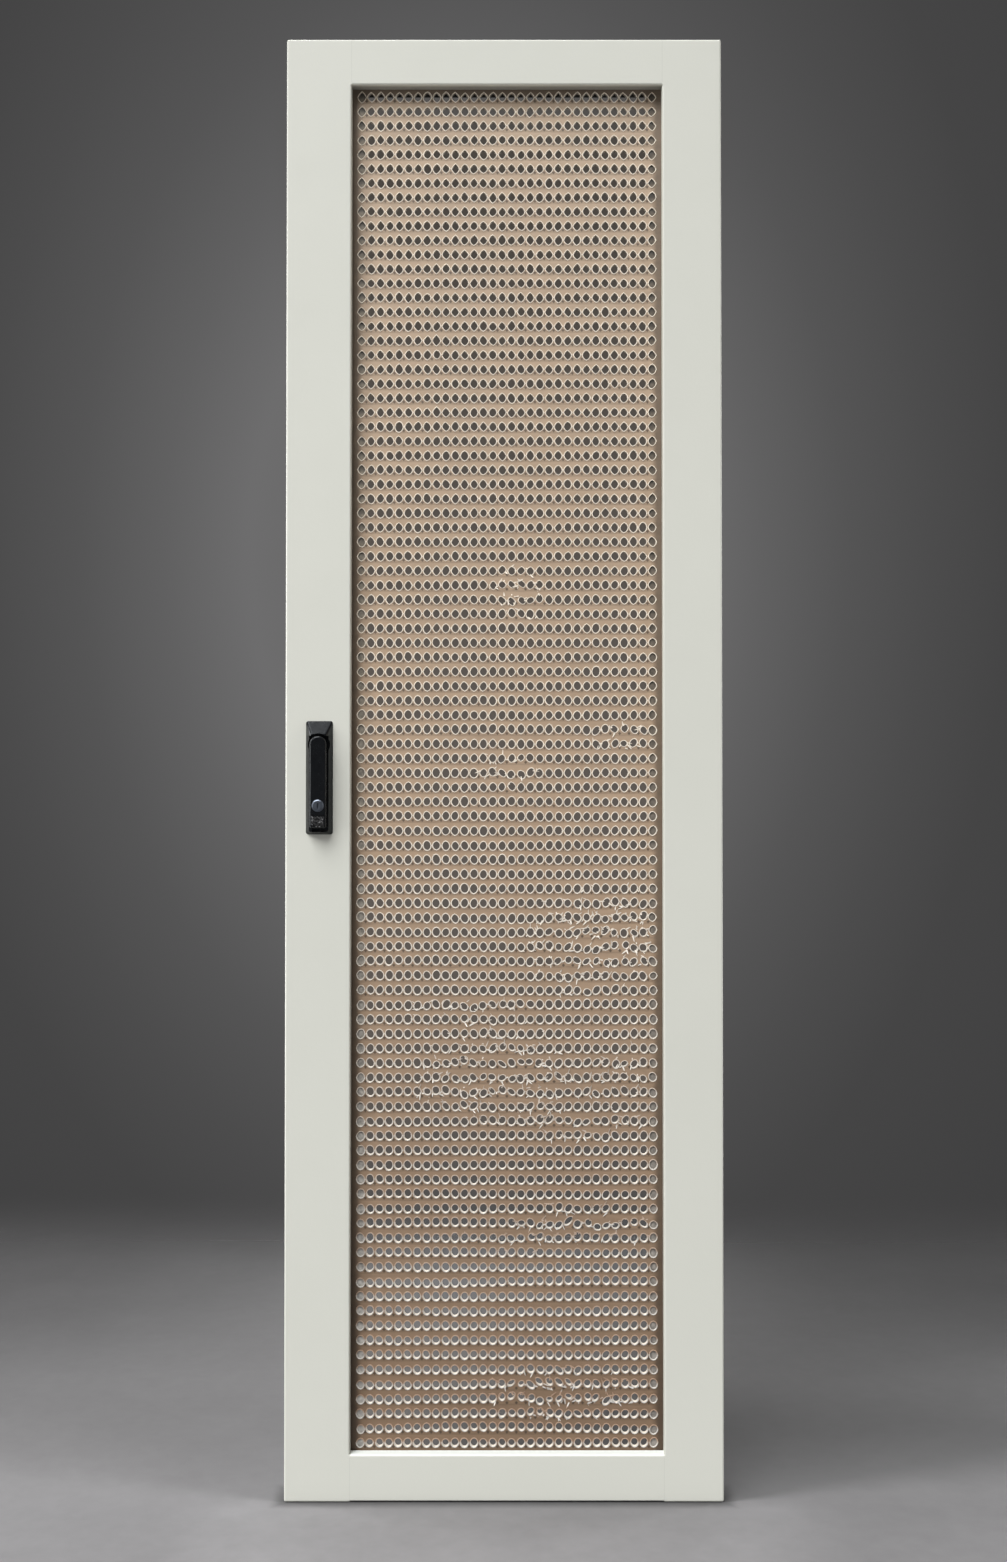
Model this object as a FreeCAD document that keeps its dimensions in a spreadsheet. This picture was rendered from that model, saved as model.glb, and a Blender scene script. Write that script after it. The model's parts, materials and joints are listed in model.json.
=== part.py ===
import FreeCAD, Part
import Sketcher
import math
import os

# Framed rack door: a folded steel frame round a perforated acrylic sheet, with a swing handle that
# drives two lock bars, and lift-off hinges on the right. Millimetres. X runs to the right seen from
# the front, Y to the back, Z up. The origin is the mouth of the lower hinge bush, on the hinge axis.

SIZES = (
    ("door_width", 590, "outer width"),
    ("door_height", 1975, "outer height"),
    ("door_depth", 35, "depth of the outer flanges"),
    ("sheet_thickness", 1.5, "steel sheet of the frame"),
    ("bend_radius", 2.5, "outside radius of a bend"),
    ("left_stile_width", 88, "face width of the handle stile"),
    ("right_stile_width", 80, "face width of the hinge stile"),
    ("rail_height", 62, "face height of both rails"),
    ("rail_rise", 1, "lower edge of the bottom rail above the stile feet"),
    ("return_lip", 20, "lip folded inwards behind the outer flange"),
    ("reveal_depth", 18, "front face to the back of the landing lip"),
    ("landing_width", 22, "lip that carries the sheet"),
    ("panel_thickness", 6, "acrylic sheet"),
    ("panel_overlap", 11, "acrylic over the landing lip"),
    ("gasket_thickness", 1.5, "foam tape between lip and sheet"),
    ("gasket_width", 9, "foam tape"),
    ("hole_width", 7.8, "clear width of a perforation"),
    ("hole_height", 9.8, "clear height of a perforation"),
    ("hole_pitch", 12.8, "perforations along a row"),
    ("row_pitch", 19.7, "perforation rows"),
    ("hole_margin", 12, "least window edge to the first and last columns"),
    ("row_margin", 8, "least window edge to the first and last rows"),
    ("strip_thickness", 1.2, "clamp strip"),
    ("strip_foot", 8, "clamp strip on the landing lip"),
    ("strip_grip", 9, "clamp strip over the acrylic"),
    ("strip_clearance", 0.4, "acrylic edge to clamp strip"),
    ("strip_end", 3, "window corner to the end of a clamp strip"),
    ("stud_diameter", 4, "clamp stud"),
    ("stud_length", 9, "clamp stud"),
    ("stud_hole", 4.8, "hole for a clamp stud"),
    ("stud_margin", 40, "end of a clamp strip to its first stud"),
    ("stud_pitch", 450, "greatest spacing of the clamp studs"),
    ("nut_flats", 7, "clamp nut across flats"),
    ("nut_height", 3.2, "clamp nut"),
    ("nut_bore", 4.2, "clamp nut"),
    ("handle_inset", 46, "left edge to the handle's turning axis"),
    ("handle_height", 1015.5, "foot of the door to the handle's turning axis"),
    ("dish_width", 36.5, "handle dish at the door's face"),
    ("dish_above", 32, "turning axis to the top of the dish"),
    ("dish_below", 121, "turning axis to the foot of the dish"),
    ("dish_rise", 9, "dish wall in front of the door's face"),
    ("dish_side_slope", 5, "run of the dish's sloping sides"),
    ("dish_end_slope", 3.4, "run of the dish's lower slope"),
    ("dish_corner", 4.2, "round of the dish's corners"),
    ("hood_start", 11.8, "turning axis to the lower end of the hood"),
    ("hood_crest", 14, "turning axis to the crest of the hood"),
    ("hood_rise", 15, "crest of the hood in front of the door's face"),
    ("hood_width", 21.8, "crest of the hood"),
    ("pocket_diameter", 29.8, "round pocket for the lever's head"),
    ("pocket_floor", 2.5, "pocket floor in front of the door's face"),
    ("recess_width", 18, "finger recess"),
    ("recess_top", 98, "turning axis to the top of the finger recess"),
    ("recess_wall", 3.4, "finger recess to the foot of the dish"),
    ("recess_floor", 2, "recess floor in front of the door's face"),
    ("boss_diameter", 24, "bearing boss through the stile"),
    ("boss_reach", 8, "bearing boss behind the door's face"),
    ("cutout_gap", 0.4, "boss to the hole in the stile, all round"),
    ("plate_width", 32, "clamp plate behind the stile"),
    ("plate_thickness", 2, "clamp plate"),
    ("plate_border", 6, "dish screw to the edge of the clamp plate"),
    ("screw_diameter", 4, "dish and cam screws"),
    ("screw_hole", 4.6, "hole for a dish screw"),
    ("screw_head", 7.5, "dish screw head"),
    ("screw_head_height", 2.8, "dish screw head"),
    ("screw_depth", 6, "dish screw into the dish, from the door's face"),
    ("upper_screw", 20, "turning axis to the upper dish screw"),
    ("lower_screw", 90, "turning axis to the lower dish screw"),
    ("hub_diameter", 27.8, "disc of the hub in the pocket"),
    ("hub_lift", 0.3, "pocket floor to the hub"),
    ("hub_disc", 1.8, "thickness of the hub's disc"),
    ("shaft_diameter", 16, "hub in the bearing boss"),
    ("shaft_clearance", 0.08, "radial running clearance"),
    ("neck_diameter", 11, "hub behind the bearing boss"),
    ("clip_groove", 9.8, "groove for the retaining clip"),
    ("clip_thickness", 1, "retaining clip"),
    ("clip_diameter", 20, "retaining clip"),
    ("clip_gap", 0.3, "boss to retaining clip"),
    ("spindle_square", 8, "square end of the hub"),
    ("tongue_width", 9.4, "tongue that carries the lever"),
    ("tongue_radius", 4.2, "rounded end of the tongue"),
    ("pivot_rise", 13.5, "lever pin in front of the door's face"),
    ("lever_pin_diameter", 4, "lever pin"),
    ("pin_clearance", 0.05, "radial running clearance of a pin"),
    ("lever_width", 22, "lever, and its round head"),
    ("lever_below", 112, "turning axis to the lever's end"),
    ("lever_gap", 0.5, "dish wall to the lever's back"),
    ("lever_thickness", 11.5, "lever"),
    ("lever_edge", 2.4, "rounded front edge of the lever"),
    ("lever_corner", 3, "corners of the lever's end"),
    ("lever_shell", 3, "front wall of the lever"),
    ("mortise_gap", 0.3, "tongue to the lever's cheeks"),
    ("mortise_below", 5.5, "turning axis to the lower end of the mortise"),
    ("relief_start", 5.5, "turning axis to the relief behind the head"),
    ("relief_depth", 3, "relief behind the head"),
    ("hollow_wall", 2.5, "side wall of the lever's hollow back"),
    ("hollow_top", 12, "turning axis to the top of the hollow back"),
    ("hollow_bottom", 68, "turning axis to the foot of the hollow back"),
    ("groove_drop", 94.8, "turning axis to the groove above the grip pad"),
    ("groove_width", 0.8, "groove above the grip pad"),
    ("groove_depth", 0.5, "groove above the grip pad"),
    ("grip_width", 16.8, "grip pad"),
    ("grip_length", 14.4, "grip pad"),
    ("grip_drop", 103.4, "turning axis to the middle of the grip pad"),
    ("grip_depth", 1.5, "seat of the grip pad"),
    ("grip_proud", 0.2, "grip pad in front of the lever"),
    ("grip_gap", 0.15, "grip pad to its seat"),
    ("lock_drop", 82.3, "turning axis to the lock"),
    ("lock_diameter", 16.7, "lock housing"),
    ("lock_proud", 0.8, "lock housing in front of the lever"),
    ("lock_depth", 8.5, "lock housing inside the lever"),
    ("lock_edge", 0.5, "rounded rim of the lock housing"),
    ("plug_diameter", 11, "turning plug of the lock"),
    ("keyway_width", 1.4, "keyway"),
    ("keyway_length", 7, "keyway"),
    ("keyway_depth", 5, "keyway"),
    ("tail_gap", 0.3, "lock housing to tailpiece"),
    ("tail_length", 14, "tailpiece"),
    ("tail_width", 6, "tailpiece"),
    ("tail_thickness", 1.6, "tailpiece"),
    ("cam_radius", 17, "turning axis to a cam pin"),
    ("cam_angle", 135, "degrees from the right to the upper cam pin, handle closed"),
    ("cam_margin", 4.5, "cam pin to the end of the cam"),
    ("cam_width", 14, "cam arms"),
    ("cam_hub", 20, "middle of the cam"),
    ("cam_thickness", 2.5, "cam"),
    ("cam_corner", 6, "corners of the cam"),
    ("cam_depth", 13.2, "front of the cam behind the door's face"),
    ("cam_pin_diameter", 5, "cam pins"),
    ("cam_pin_reach", 3.4, "cam pin in front of the cam"),
    ("washer_diameter", 14, "cam washer"),
    ("washer_thickness", 1, "cam washer"),
    ("washer_bore", 4.4, "cam washer"),
    ("cam_screw_flats", 7, "cam screw head across flats"),
    ("cam_screw_head", 2.8, "cam screw head"),
    ("cam_screw_depth", 7, "cam screw into the hub"),
    ("bar_depth", 10.2, "front of the lock bars behind the door's face"),
    ("bar_thickness", 2.5, "lock bars"),
    ("bar_inner", 6.4, "turning axis to the near edge of a lock bar"),
    ("bar_outer", 23, "turning axis to the far edge of a lock bar"),
    ("bar_end_gap", 18, "end of a lock bar to the end of the door"),
    ("bar_tail", 3, "turning axis to the near end of a lock bar"),
    ("yoke_clearance", 0.65, "cam pin to the yoke slot, each side"),
    ("tab_inset", 2, "latch tab to the far edge of its bar"),
    ("tab_reach", 30, "latch tab back from the front of its bar"),
    ("tab_bend", 1.5, "inside radius of the latch tab's bend"),
    ("guide_width", 26, "bar guide"),
    ("guide_length", 20, "bar guide"),
    ("guide_depth", 14.5, "bar guide"),
    ("guide_clearance", 0.35, "lock bar to guide, each side"),
    ("guide_near", 160, "turning axis to the near guides"),
    ("guide_far", 110, "end of a bar to its far guide"),
    ("hinge_inset", 16, "right edge to the hinge axis"),
    ("hinge_back", 45, "door's face to the hinge axis"),
    ("lower_hinge_height", 100, "foot of the door to the mouth of the lower bush"),
    ("upper_hinge_drop", 95, "top of the door to the top of the upper bracket"),
    ("bracket_gauge", 3, "hinge bracket plate"),
    ("bracket_width", 18, "hinge brackets"),
    ("bracket_height", 43, "hinge brackets"),
    ("ear_reach", 8.5, "hinge axis to the ends of the ears"),
    ("ear_corner", 6, "corners of the ears"),
    ("bracket_bend", 1.5, "inside radius of the brackets' bends"),
    ("hinge_pin_diameter", 8, "spring pin"),
    ("hinge_nose_diameter", 7, "nose of the spring pin"),
    ("hinge_nose_length", 10, "straight part of the nose"),
    ("hinge_nose_lead", 1, "chamfer of the nose"),
    ("hinge_nose_step", 0.4, "shoulder of the nose above the bracket"),
    ("hinge_pin_travel", 12, "pull of the spring pin"),
    ("hinge_clip_groove", 7.2, "groove in the spring pin"),
    ("hinge_clip_diameter", 12, "clip on the spring pin"),
    ("hinge_clip_thickness", 1.2, "clip on the spring pin"),
    ("hinge_clip_gap", 0.3, "upper ear to clip"),
    ("hinge_tail_drop", 7, "lower ear to the bend of the spring pin"),
    ("hinge_tail_bend", 8, "bend radius of the spring pin, on its middle line"),
    ("hinge_tail_length", 16, "straight pull of the spring pin"),
    ("coil_radius", 5.5, "middle radius of the spring"),
    ("coil_wire", 1.3, "spring wire"),
    ("coil_turns", 7, "turns of the spring"),
    ("coil_end_gap", 0.2, "spring end to its seat"),
    ("bush_bore", 8.1, "lower hinge bush"),
    ("bush_diameter", 13, "lower hinge bush"),
    ("bush_flange", 18, "flange of the bush"),
    ("bush_flange_thickness", 1.5, "flange of the bush"),
    ("bush_length", 12, "lower hinge bush"),
    ("earth_diameter", 6, "earth stud"),
    ("earth_length", 19, "straight part of the earth stud"),
    ("earth_lead", 1, "chamfer of the earth stud"),
    ("earth_inset", 46, "right edge to the earth stud"),
    ("earth_height", 180, "foot of the door to the earth stud"),
)

# Places and counts that follow from the driving sizes.
DERIVED = (
    ("left_x", "size.hinge_inset - size.door_width"),
    ("front_y", "-size.hinge_back"),
    ("foot_z", "-size.lower_hinge_height"),
    ("window_left", "calc.left_x + size.left_stile_width"),
    ("window_right", "size.hinge_inset - size.right_stile_width"),
    ("window_bottom", "calc.foot_z + size.rail_rise + size.rail_height"),
    ("window_top", "calc.foot_z + size.door_height - size.rail_height"),
    ("window_width", "calc.window_right - calc.window_left"),
    ("window_height", "calc.window_top - calc.window_bottom"),
    ("landing_y", "calc.front_y + size.reveal_depth"),
    ("panel_y", "calc.landing_y + size.gasket_thickness"),
    ("columns", "floor((calc.window_width - 2 * size.hole_margin) / size.hole_pitch) + 1"),
    ("rows", "floor((calc.window_height - 2 * size.row_margin) / size.row_pitch) + 1"),
    ("slot_length", "(calc.columns - 1) * size.hole_pitch + size.hole_width"),
    ("slot_height", "pi / 4 * size.hole_width * size.hole_height / size.hole_pitch"),
    ("rows_height", "(calc.rows - 1) * size.row_pitch"),
    ("strip_web", "size.panel_overlap + size.strip_clearance"),
    ("strip_rise", "size.gasket_thickness + size.panel_thickness"),
    ("stud_row", "calc.strip_web + size.strip_thickness + size.strip_foot / 2"),
    ("side_strip", "calc.window_height - 2 * size.strip_end"),
    ("side_studs", "ceil((calc.side_strip - 2 * size.stud_margin) / size.stud_pitch) + 1"),
    ("side_span", "calc.side_strip - 2 * size.stud_margin"),
    ("end_strip", "calc.window_width - 2 * size.strip_end"),
    ("end_studs", "ceil((calc.end_strip - 2 * size.stud_margin) / size.stud_pitch) + 1"),
    ("end_span", "calc.end_strip - 2 * size.stud_margin"),
    ("handle_x", "calc.left_x + size.handle_inset"),
    ("handle_z", "calc.foot_z + size.handle_height"),
    ("plate_back", "size.sheet_thickness + size.plate_thickness"),
    ("hub_back", "size.pocket_floor + size.hub_lift"),
    ("hub_front", "calc.hub_back + size.hub_disc"),
    ("shaft_end", "size.boss_reach + size.clip_gap - size.shaft_clearance"),
    ("clip_front", "size.boss_reach + size.clip_gap"),
    ("groove_end", "calc.clip_front + size.clip_thickness + size.shaft_clearance"),
    ("lever_back", "size.dish_rise + size.lever_gap"),
    ("lever_front", "calc.lever_back + size.lever_thickness"),
    ("lock_back", "calc.lever_front - size.lock_depth"),
    ("lock_front", "calc.lever_front + size.lock_proud"),
    ("plug_back", "calc.lock_back - size.tail_gap"),
    ("grip_seat", "calc.lever_front - size.grip_depth"),
    ("cam_back", "size.cam_depth + size.cam_thickness"),
    ("yoke_near", "size.cam_radius * sqrt(0.5) - size.cam_pin_diameter / 2 - size.yoke_clearance"),
    ("yoke_far", "size.cam_radius + size.cam_pin_diameter / 2 + size.yoke_clearance"),
    ("yoke_low", "size.cam_radius * sqrt(0.5) - size.cam_pin_diameter / 2 - size.yoke_clearance"),
    ("yoke_high", "size.cam_radius * sqrt(0.5) + size.cam_pin_diameter / 2 + size.yoke_clearance"),
    ("upper_reach", "size.door_height - size.handle_height - size.bar_end_gap"),
    ("lower_reach", "size.handle_height - size.bar_end_gap"),
    ("bar_middle", "(size.bar_inner + size.bar_outer) / 2"),
    ("bar_back", "size.bar_depth + size.bar_thickness"),
    ("upper_hinge_z", "calc.foot_z + size.door_height - size.upper_hinge_drop"),
    ("bracket_y", "size.door_depth - size.hinge_back"),
    ("clip_top", "-size.bracket_gauge - size.hinge_clip_gap"),
    ("clip_foot", "calc.clip_top - size.hinge_clip_thickness"),
    ("coil_top", "calc.clip_foot - size.coil_end_gap"),
    ("coil_foot", "size.bracket_gauge - size.bracket_height + size.coil_end_gap"),
    ("tail_start", "-size.bracket_height - size.hinge_tail_drop"),
    ("earth_y", "calc.front_y + size.sheet_thickness"),
)

FRONT, BACK = False, True
NEAR = 1e-4

doc = FreeCAD.newDocument("rack_door")
size = doc.addObject("Spreadsheet::Sheet", "size")
for row, (alias, value, meaning) in enumerate(SIZES, start=1):
    size.set(f"A{row}", meaning)
    size.set(f"B{row}", str(value))
    size.setAlias(f"B{row}", alias)
doc.recompute()

calc = doc.addObject("App::VarSet", "calc")
for name, rule in DERIVED:
    calc.addProperty("App::PropertyFloat", name, "Derived")
    calc.setExpression(name, rule)
    doc.recompute()

pieces = []


def place(piece, x="0", y="0", z="0"):
    """Put a piece at a point given by three rules."""
    piece.setExpression("Placement.Base.x", x)
    piece.setExpression("Placement.Base.y", y)
    piece.setExpression("Placement.Base.z", z)


def new_body(label, x="0", y="0", z="0"):
    """A body that is a piece of the door."""
    body = doc.addObject("PartDesign::Body", label)
    place(body, x, y, z)
    pieces.append(body)
    return body


def handle_body(label):
    """A body whose origin is where the handle's turning axis meets the door's face."""
    return new_body(label, "calc.handle_x", "calc.front_y", "calc.handle_z")


def origin_plane(body, role):
    return next(item for item in body.Origin.OriginFeatures if item.Role == role)


def new_sketch(body, name, role, lift="0"):
    """A sketch on one of the body's origin planes; XZ sketches lift towards the front."""
    sketch = body.newObject("Sketcher::SketchObject", f"{body.Label}_{name}")
    sketch.AttachmentSupport = [(origin_plane(body, role), "")]
    sketch.MapMode = "FlatFace"
    sketch.setExpression("AttachmentOffset.Base.z", lift)
    return sketch


def bind(sketch, constraint, rule):
    sketch.setExpression(f"Constraints[{sketch.addConstraint(constraint)}]", rule)


def fix_point(sketch, edge, end, x, y):
    """Hold one end of a sketch edge at a distance from the sketch's origin."""
    drawn = sketch.getPoint(edge, end)
    bind(sketch, Sketcher.Constraint("DistanceX", -1, 1, edge, end, drawn.x), x)
    bind(sketch, Sketcher.Constraint("DistanceY", -1, 1, edge, end, drawn.y), y)


def add_polygon(sketch, corners):
    """Closed outline through corners, each a pair of rules."""
    first = sketch.GeometryCount
    count = len(corners)
    ring = [FreeCAD.Vector(math.cos(2 * math.pi * i / count), math.sin(2 * math.pi * i / count), 0)
            for i in range(count)]
    lines = [Part.LineSegment(ring[i], ring[(i + 1) % count]) for i in range(count)]
    sketch.addGeometry(lines, False)
    for i in range(count):
        following = first + (i + 1) % count
        sketch.addConstraint(Sketcher.Constraint("Coincident", first + i, 2, following, 1))
    for i, (x, y) in enumerate(corners):
        fix_point(sketch, first + i, 1, x, y)


def add_box(sketch, left, right, low, high):
    add_polygon(sketch, [(left, low), (right, low), (right, high), (left, high)])


def add_circle(sketch, x, y, diameter):
    circle = Part.Circle()
    edge = sketch.addGeometry(circle, False)
    fix_point(sketch, edge, 3, x, y)
    bind(sketch, Sketcher.Constraint("Diameter", edge, 2 * circle.Radius), diameter)


def pad(body, sketch, length, reverse=FRONT, symmetric=False):
    """Extrude a sketch along its normal, or against it."""
    feature = body.newObject("PartDesign::Pad", f"{sketch.Label}_pad")
    feature.Profile = sketch
    feature.Reversed = reverse
    feature.setExpression("Length", length)
    if symmetric:
        feature.SideType = "Symmetric"
    doc.recompute()
    return feature


def pocket(body, sketch, depth=None, towards=BACK, symmetric=False):
    """Cut a sketch out of the body: to a depth, or all the way; the cut must take something away."""
    before = body.Shape.Volume
    feature = body.newObject("PartDesign::Pocket", f"{sketch.Label}_pocket")
    feature.Profile = sketch
    feature.Reversed = not towards
    if depth is None:
        feature.Type = "ThroughAll"
    else:
        feature.setExpression("Length", depth)
    if symmetric:
        feature.SideType = "Symmetric"
    doc.recompute()
    if body.Shape.Volume > before - NEAR:
        raise RuntimeError(f"{sketch.Label} cuts nothing")
    return feature


def revolve(body, sketch, axis):
    feature = body.newObject("PartDesign::Revolution", f"{sketch.Label}_turn")
    feature.Profile = sketch
    feature.ReferenceAxis = (sketch, [axis])
    doc.recompute()
    return feature


def loft(body, start, end):
    feature = body.newObject("PartDesign::AdditiveLoft", f"{start.Label}_loft")
    feature.Profile = start
    feature.Sections = [end]
    feature.Ruled = True
    doc.recompute()
    return feature


def repeat(body, feature, direction, span, count):
    """Repeat a cut along a sketch axis, over a span."""
    pattern = body.newObject("PartDesign::LinearPattern", f"{feature.Label}_row")
    pattern.Originals = [feature]
    pattern.Direction = direction
    pattern.setExpression("Length", span)
    pattern.setExpression("Occurrences", count)
    body.Tip = pattern
    doc.recompute()
    return pattern


def edges_along(shape, axis, spots):
    """Names of the straight edges along an axis that pass through any of the spots."""
    others = [name for name in "xyz" if name != axis]
    names = []
    for index, edge in enumerate(shape.Edges, start=1):
        if len(edge.Vertexes) != 2 or not isinstance(edge.Curve, (Part.Line, Part.LineSegment)):
            continue
        start, end = (vertex.Point for vertex in edge.Vertexes)
        run = end - start
        if any(abs(getattr(run, name)) > NEAR for name in others):
            continue
        across = [getattr(start, name) for name in others]
        if any(math.dist(across, spot) < NEAR for spot in spots):
            names.append(f"Edge{index}")
    return names


def edges_of_face(shape, axis, level):
    """Names of the edges that lie in the plane at a level of an axis."""
    names = []
    for index, edge in enumerate(shape.Edges, start=1):
        box = edge.BoundBox
        low = getattr(box, f"{axis.upper()}Min")
        high = getattr(box, f"{axis.upper()}Max")
        if abs(low - level) < NEAR and abs(high - level) < NEAR:
            names.append(f"Edge{index}")
    return names


def dress(body, kind, edges, rule, name):
    """Fillet or chamfer of some edges of the body as it stands."""
    base = body.Tip
    feature = body.newObject(f"PartDesign::{kind}", f"{body.Label}_{name}")
    feature.Base = (base, edges)
    feature.setExpression("Radius" if kind == "Fillet" else "Size", rule)
    doc.recompute()
    return feature


def round_edges(body, edges, rule, name):
    return dress(body, "Fillet", edges, rule, name)


def bend(body, axis, outside, inside, name):
    """Round the outside and the inside edges of folded sheet."""
    round_edges(body, edges_along(body.Tip.Shape, axis, outside), "size.bend_radius", f"{name}_outside")
    inner = "size.bend_radius - size.sheet_thickness"
    round_edges(body, edges_along(body.Tip.Shape, axis, inside), inner, f"{name}_inside")


def group(label, members):
    """Several like solids kept as one piece."""
    made = doc.addObject("Part::Compound", label)
    made.Links = members
    pieces.append(made)
    return made


def rod(label, x, y, z, diameter, length):
    """Round bar that starts at a point and runs to the back."""
    made = doc.addObject("Part::Cylinder", label)
    made.setExpression("Radius", f"({diameter}) / 2")
    made.setExpression("Height", length)
    made.Placement.Rotation = FreeCAD.Rotation(FreeCAD.Vector(1, 0, 0), -90)
    place(made, x, y, z)
    return made


def hexagon(label, x, y, z, flats, length):
    """Hexagonal bar that starts at a point and runs to the back."""
    made = doc.addObject("Part::Prism", label)
    made.Polygon = 6
    made.setExpression("Circumradius", f"{flats} / sqrt(3)")
    made.setExpression("Height", length)
    made.Placement.Rotation = FreeCAD.Rotation(FreeCAD.Vector(1, 0, 0), -90)
    place(made, x, y, z)
    return made


def cut(label, base, tool):
    made = doc.addObject("Part::Cut", label)
    made.Base = base
    made.Tool = tool
    return made


def fuse(label, base, tool):
    made = doc.addObject("Part::Fuse", label)
    made.Base = base
    made.Tool = tool
    return made


def folded_section(width):
    """Frame section as pairs: run from the outer edge to the window, and depth from the front."""
    deep, gauge, lip = "size.door_depth", "size.sheet_thickness", "size.return_lip"
    inner, landing = f"{width} - {gauge}", f"{width} - size.landing_width"
    back, front = "size.reveal_depth", f"size.reveal_depth - {gauge}"
    return [(lip, deep), ("0", deep), ("0", "0"), (width, "0"), (width, back), (landing, back),
            (landing, front), (inner, front), (inner, gauge), (gauge, gauge),
            (gauge, f"{deep} - {gauge}"), (lip, f"{deep} - {gauge}")]


def edge_section(width):
    """Frame section beside a rail: face, outer flange and return lip."""
    deep, gauge, lip = "size.door_depth", "size.sheet_thickness", "size.return_lip"
    return [(lip, deep), ("0", deep), ("0", "0"), (width, "0"), (width, gauge), (gauge, gauge),
            (gauge, f"{deep} - {gauge}"), (lip, f"{deep} - {gauge}")]


def stile(label, width, hand, x):
    """Upright of the frame; hand is 1 when the window is on its right and -1 on its left."""
    body = new_body(label, x, "calc.front_y", "calc.foot_z")
    turned = lambda pairs: [(f"{hand} * ({run})", deep) for run, deep in pairs]
    face, gauge = hand * getattr(size, width), size.sheet_thickness
    inner, back = face - hand * gauge, size.reveal_depth
    foot = "size.rail_rise + size.rail_height"
    crown = "size.door_height - size.rail_height"

    middle = new_sketch(body, "middle", "XY_Plane", foot)
    add_polygon(middle, turned(folded_section(f"size.{width}")))
    pad(body, middle, "calc.window_height")
    bend(body, "z", [(face, 0), (face, back)], [(inner, gauge), (inner, back - gauge)], "window_bend")

    for name, start, length in (("foot", "0", foot), ("crown", crown, "size.rail_height")):
        end = new_sketch(body, name, "XY_Plane", start)
        add_polygon(end, turned(edge_section(f"size.{width}")))
        pad(body, end, length)
    for name, start in (("lower_tab", "0"), ("upper_tab", "size.door_height - size.sheet_thickness")):
        tab = new_sketch(body, name, "XY_Plane", start)
        add_box(tab, "0", f"{hand} * size.{width}", "0", "size.door_depth")
        pad(body, tab, "size.sheet_thickness")

    deep, top = size.door_depth, size.door_height
    rims = edges_along(body.Tip.Shape, "z", [(0, 0), (0, deep)])
    rims += edges_along(body.Tip.Shape, "x", [(0, 0), (0, top)])
    rims += edges_along(body.Tip.Shape, "y", [(0, 0), (0, top)])
    round_edges(body, rims, "size.bend_radius", "outer_bends")
    return body


def handle_stile():
    body = stile("left_stile", "left_stile_width", 1, "calc.left_x")
    holes = new_sketch(body, "handle_holes", "XZ_Plane")
    add_circle(holes, "size.handle_inset", "size.handle_height", "size.boss_diameter + 2 * size.cutout_gap")
    for screw in ("size.upper_screw", "-size.lower_screw"):
        add_circle(holes, "size.handle_inset", f"size.handle_height + {screw}", "size.screw_hole")
    pocket(body, holes, "2 * size.sheet_thickness")


def rail(label, hand, z):
    """Cross member of the frame; hand is 1 when the window is above it and -1 below it."""
    body = new_body(label, "calc.window_left", "calc.front_y", z)
    section = new_sketch(body, "section", "YZ_Plane")
    pairs = folded_section("size.rail_height")
    add_polygon(section, [(deep, f"{hand} * ({run})") for run, deep in pairs])
    pad(body, section, "calc.window_width")
    gauge, deep, back = size.sheet_thickness, size.door_depth, size.reveal_depth
    face, inner = hand * size.rail_height, hand * (size.rail_height - size.sheet_thickness)
    outside = [(0, 0), (deep, 0), (0, face), (back, face)]
    inside = [(gauge, hand * gauge), (deep - gauge, hand * gauge), (gauge, inner), (back - gauge, inner)]
    bend(body, "x", outside, inside, "bend")


def acrylic_panel():
    """Acrylic sheet; each row of perforations is one slot of the same open area."""
    body = new_body("acrylic_panel", "calc.window_left", "calc.panel_y", "calc.window_bottom")
    outline = new_sketch(body, "outline", "XZ_Plane")
    lap = "size.panel_overlap"
    add_box(outline, f"-{lap}", f"calc.window_width + {lap}", f"-{lap}", f"calc.window_height + {lap}")
    pad(body, outline, "size.panel_thickness", BACK)
    row = new_sketch(body, "row", "XZ_Plane")
    left = "(calc.window_width - calc.slot_length) / 2"
    low = "(calc.window_height - calc.rows_height - calc.slot_height) / 2"
    add_box(row, left, f"{left} + calc.slot_length", low, f"{low} + calc.slot_height")
    slot = pocket(body, row)
    repeat(body, slot, (row, ["V_Axis"]), "calc.rows_height", "calc.rows")


def panel_gasket():
    body = new_body("panel_gasket", "calc.window_left", "calc.landing_y", "calc.window_bottom")
    frame = new_sketch(body, "frame", "XZ_Plane")
    inset = "(size.panel_overlap - size.gasket_width)"
    for edge in (inset, f"{inset} + size.gasket_width"):
        add_box(frame, f"-({edge})", f"calc.window_width + {edge}", f"-({edge})", f"calc.window_height + {edge}")
    pad(body, frame, "size.gasket_thickness", BACK)


def strip_section():
    """Clamp strip section as pairs: run outwards from the window, and depth behind the landing lip."""
    web, gauge, rise = "calc.strip_web", "size.strip_thickness", "calc.strip_rise"
    foot, grip = f"{web} + {gauge} + size.strip_foot", f"{web} - size.strip_grip"
    return [(foot, "0"), (foot, gauge), (f"{web} + {gauge}", gauge), (f"{web} + {gauge}", f"{rise} + {gauge}"),
            (grip, f"{rise} + {gauge}"), (grip, rise), (web, rise), (web, "0")]


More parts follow.
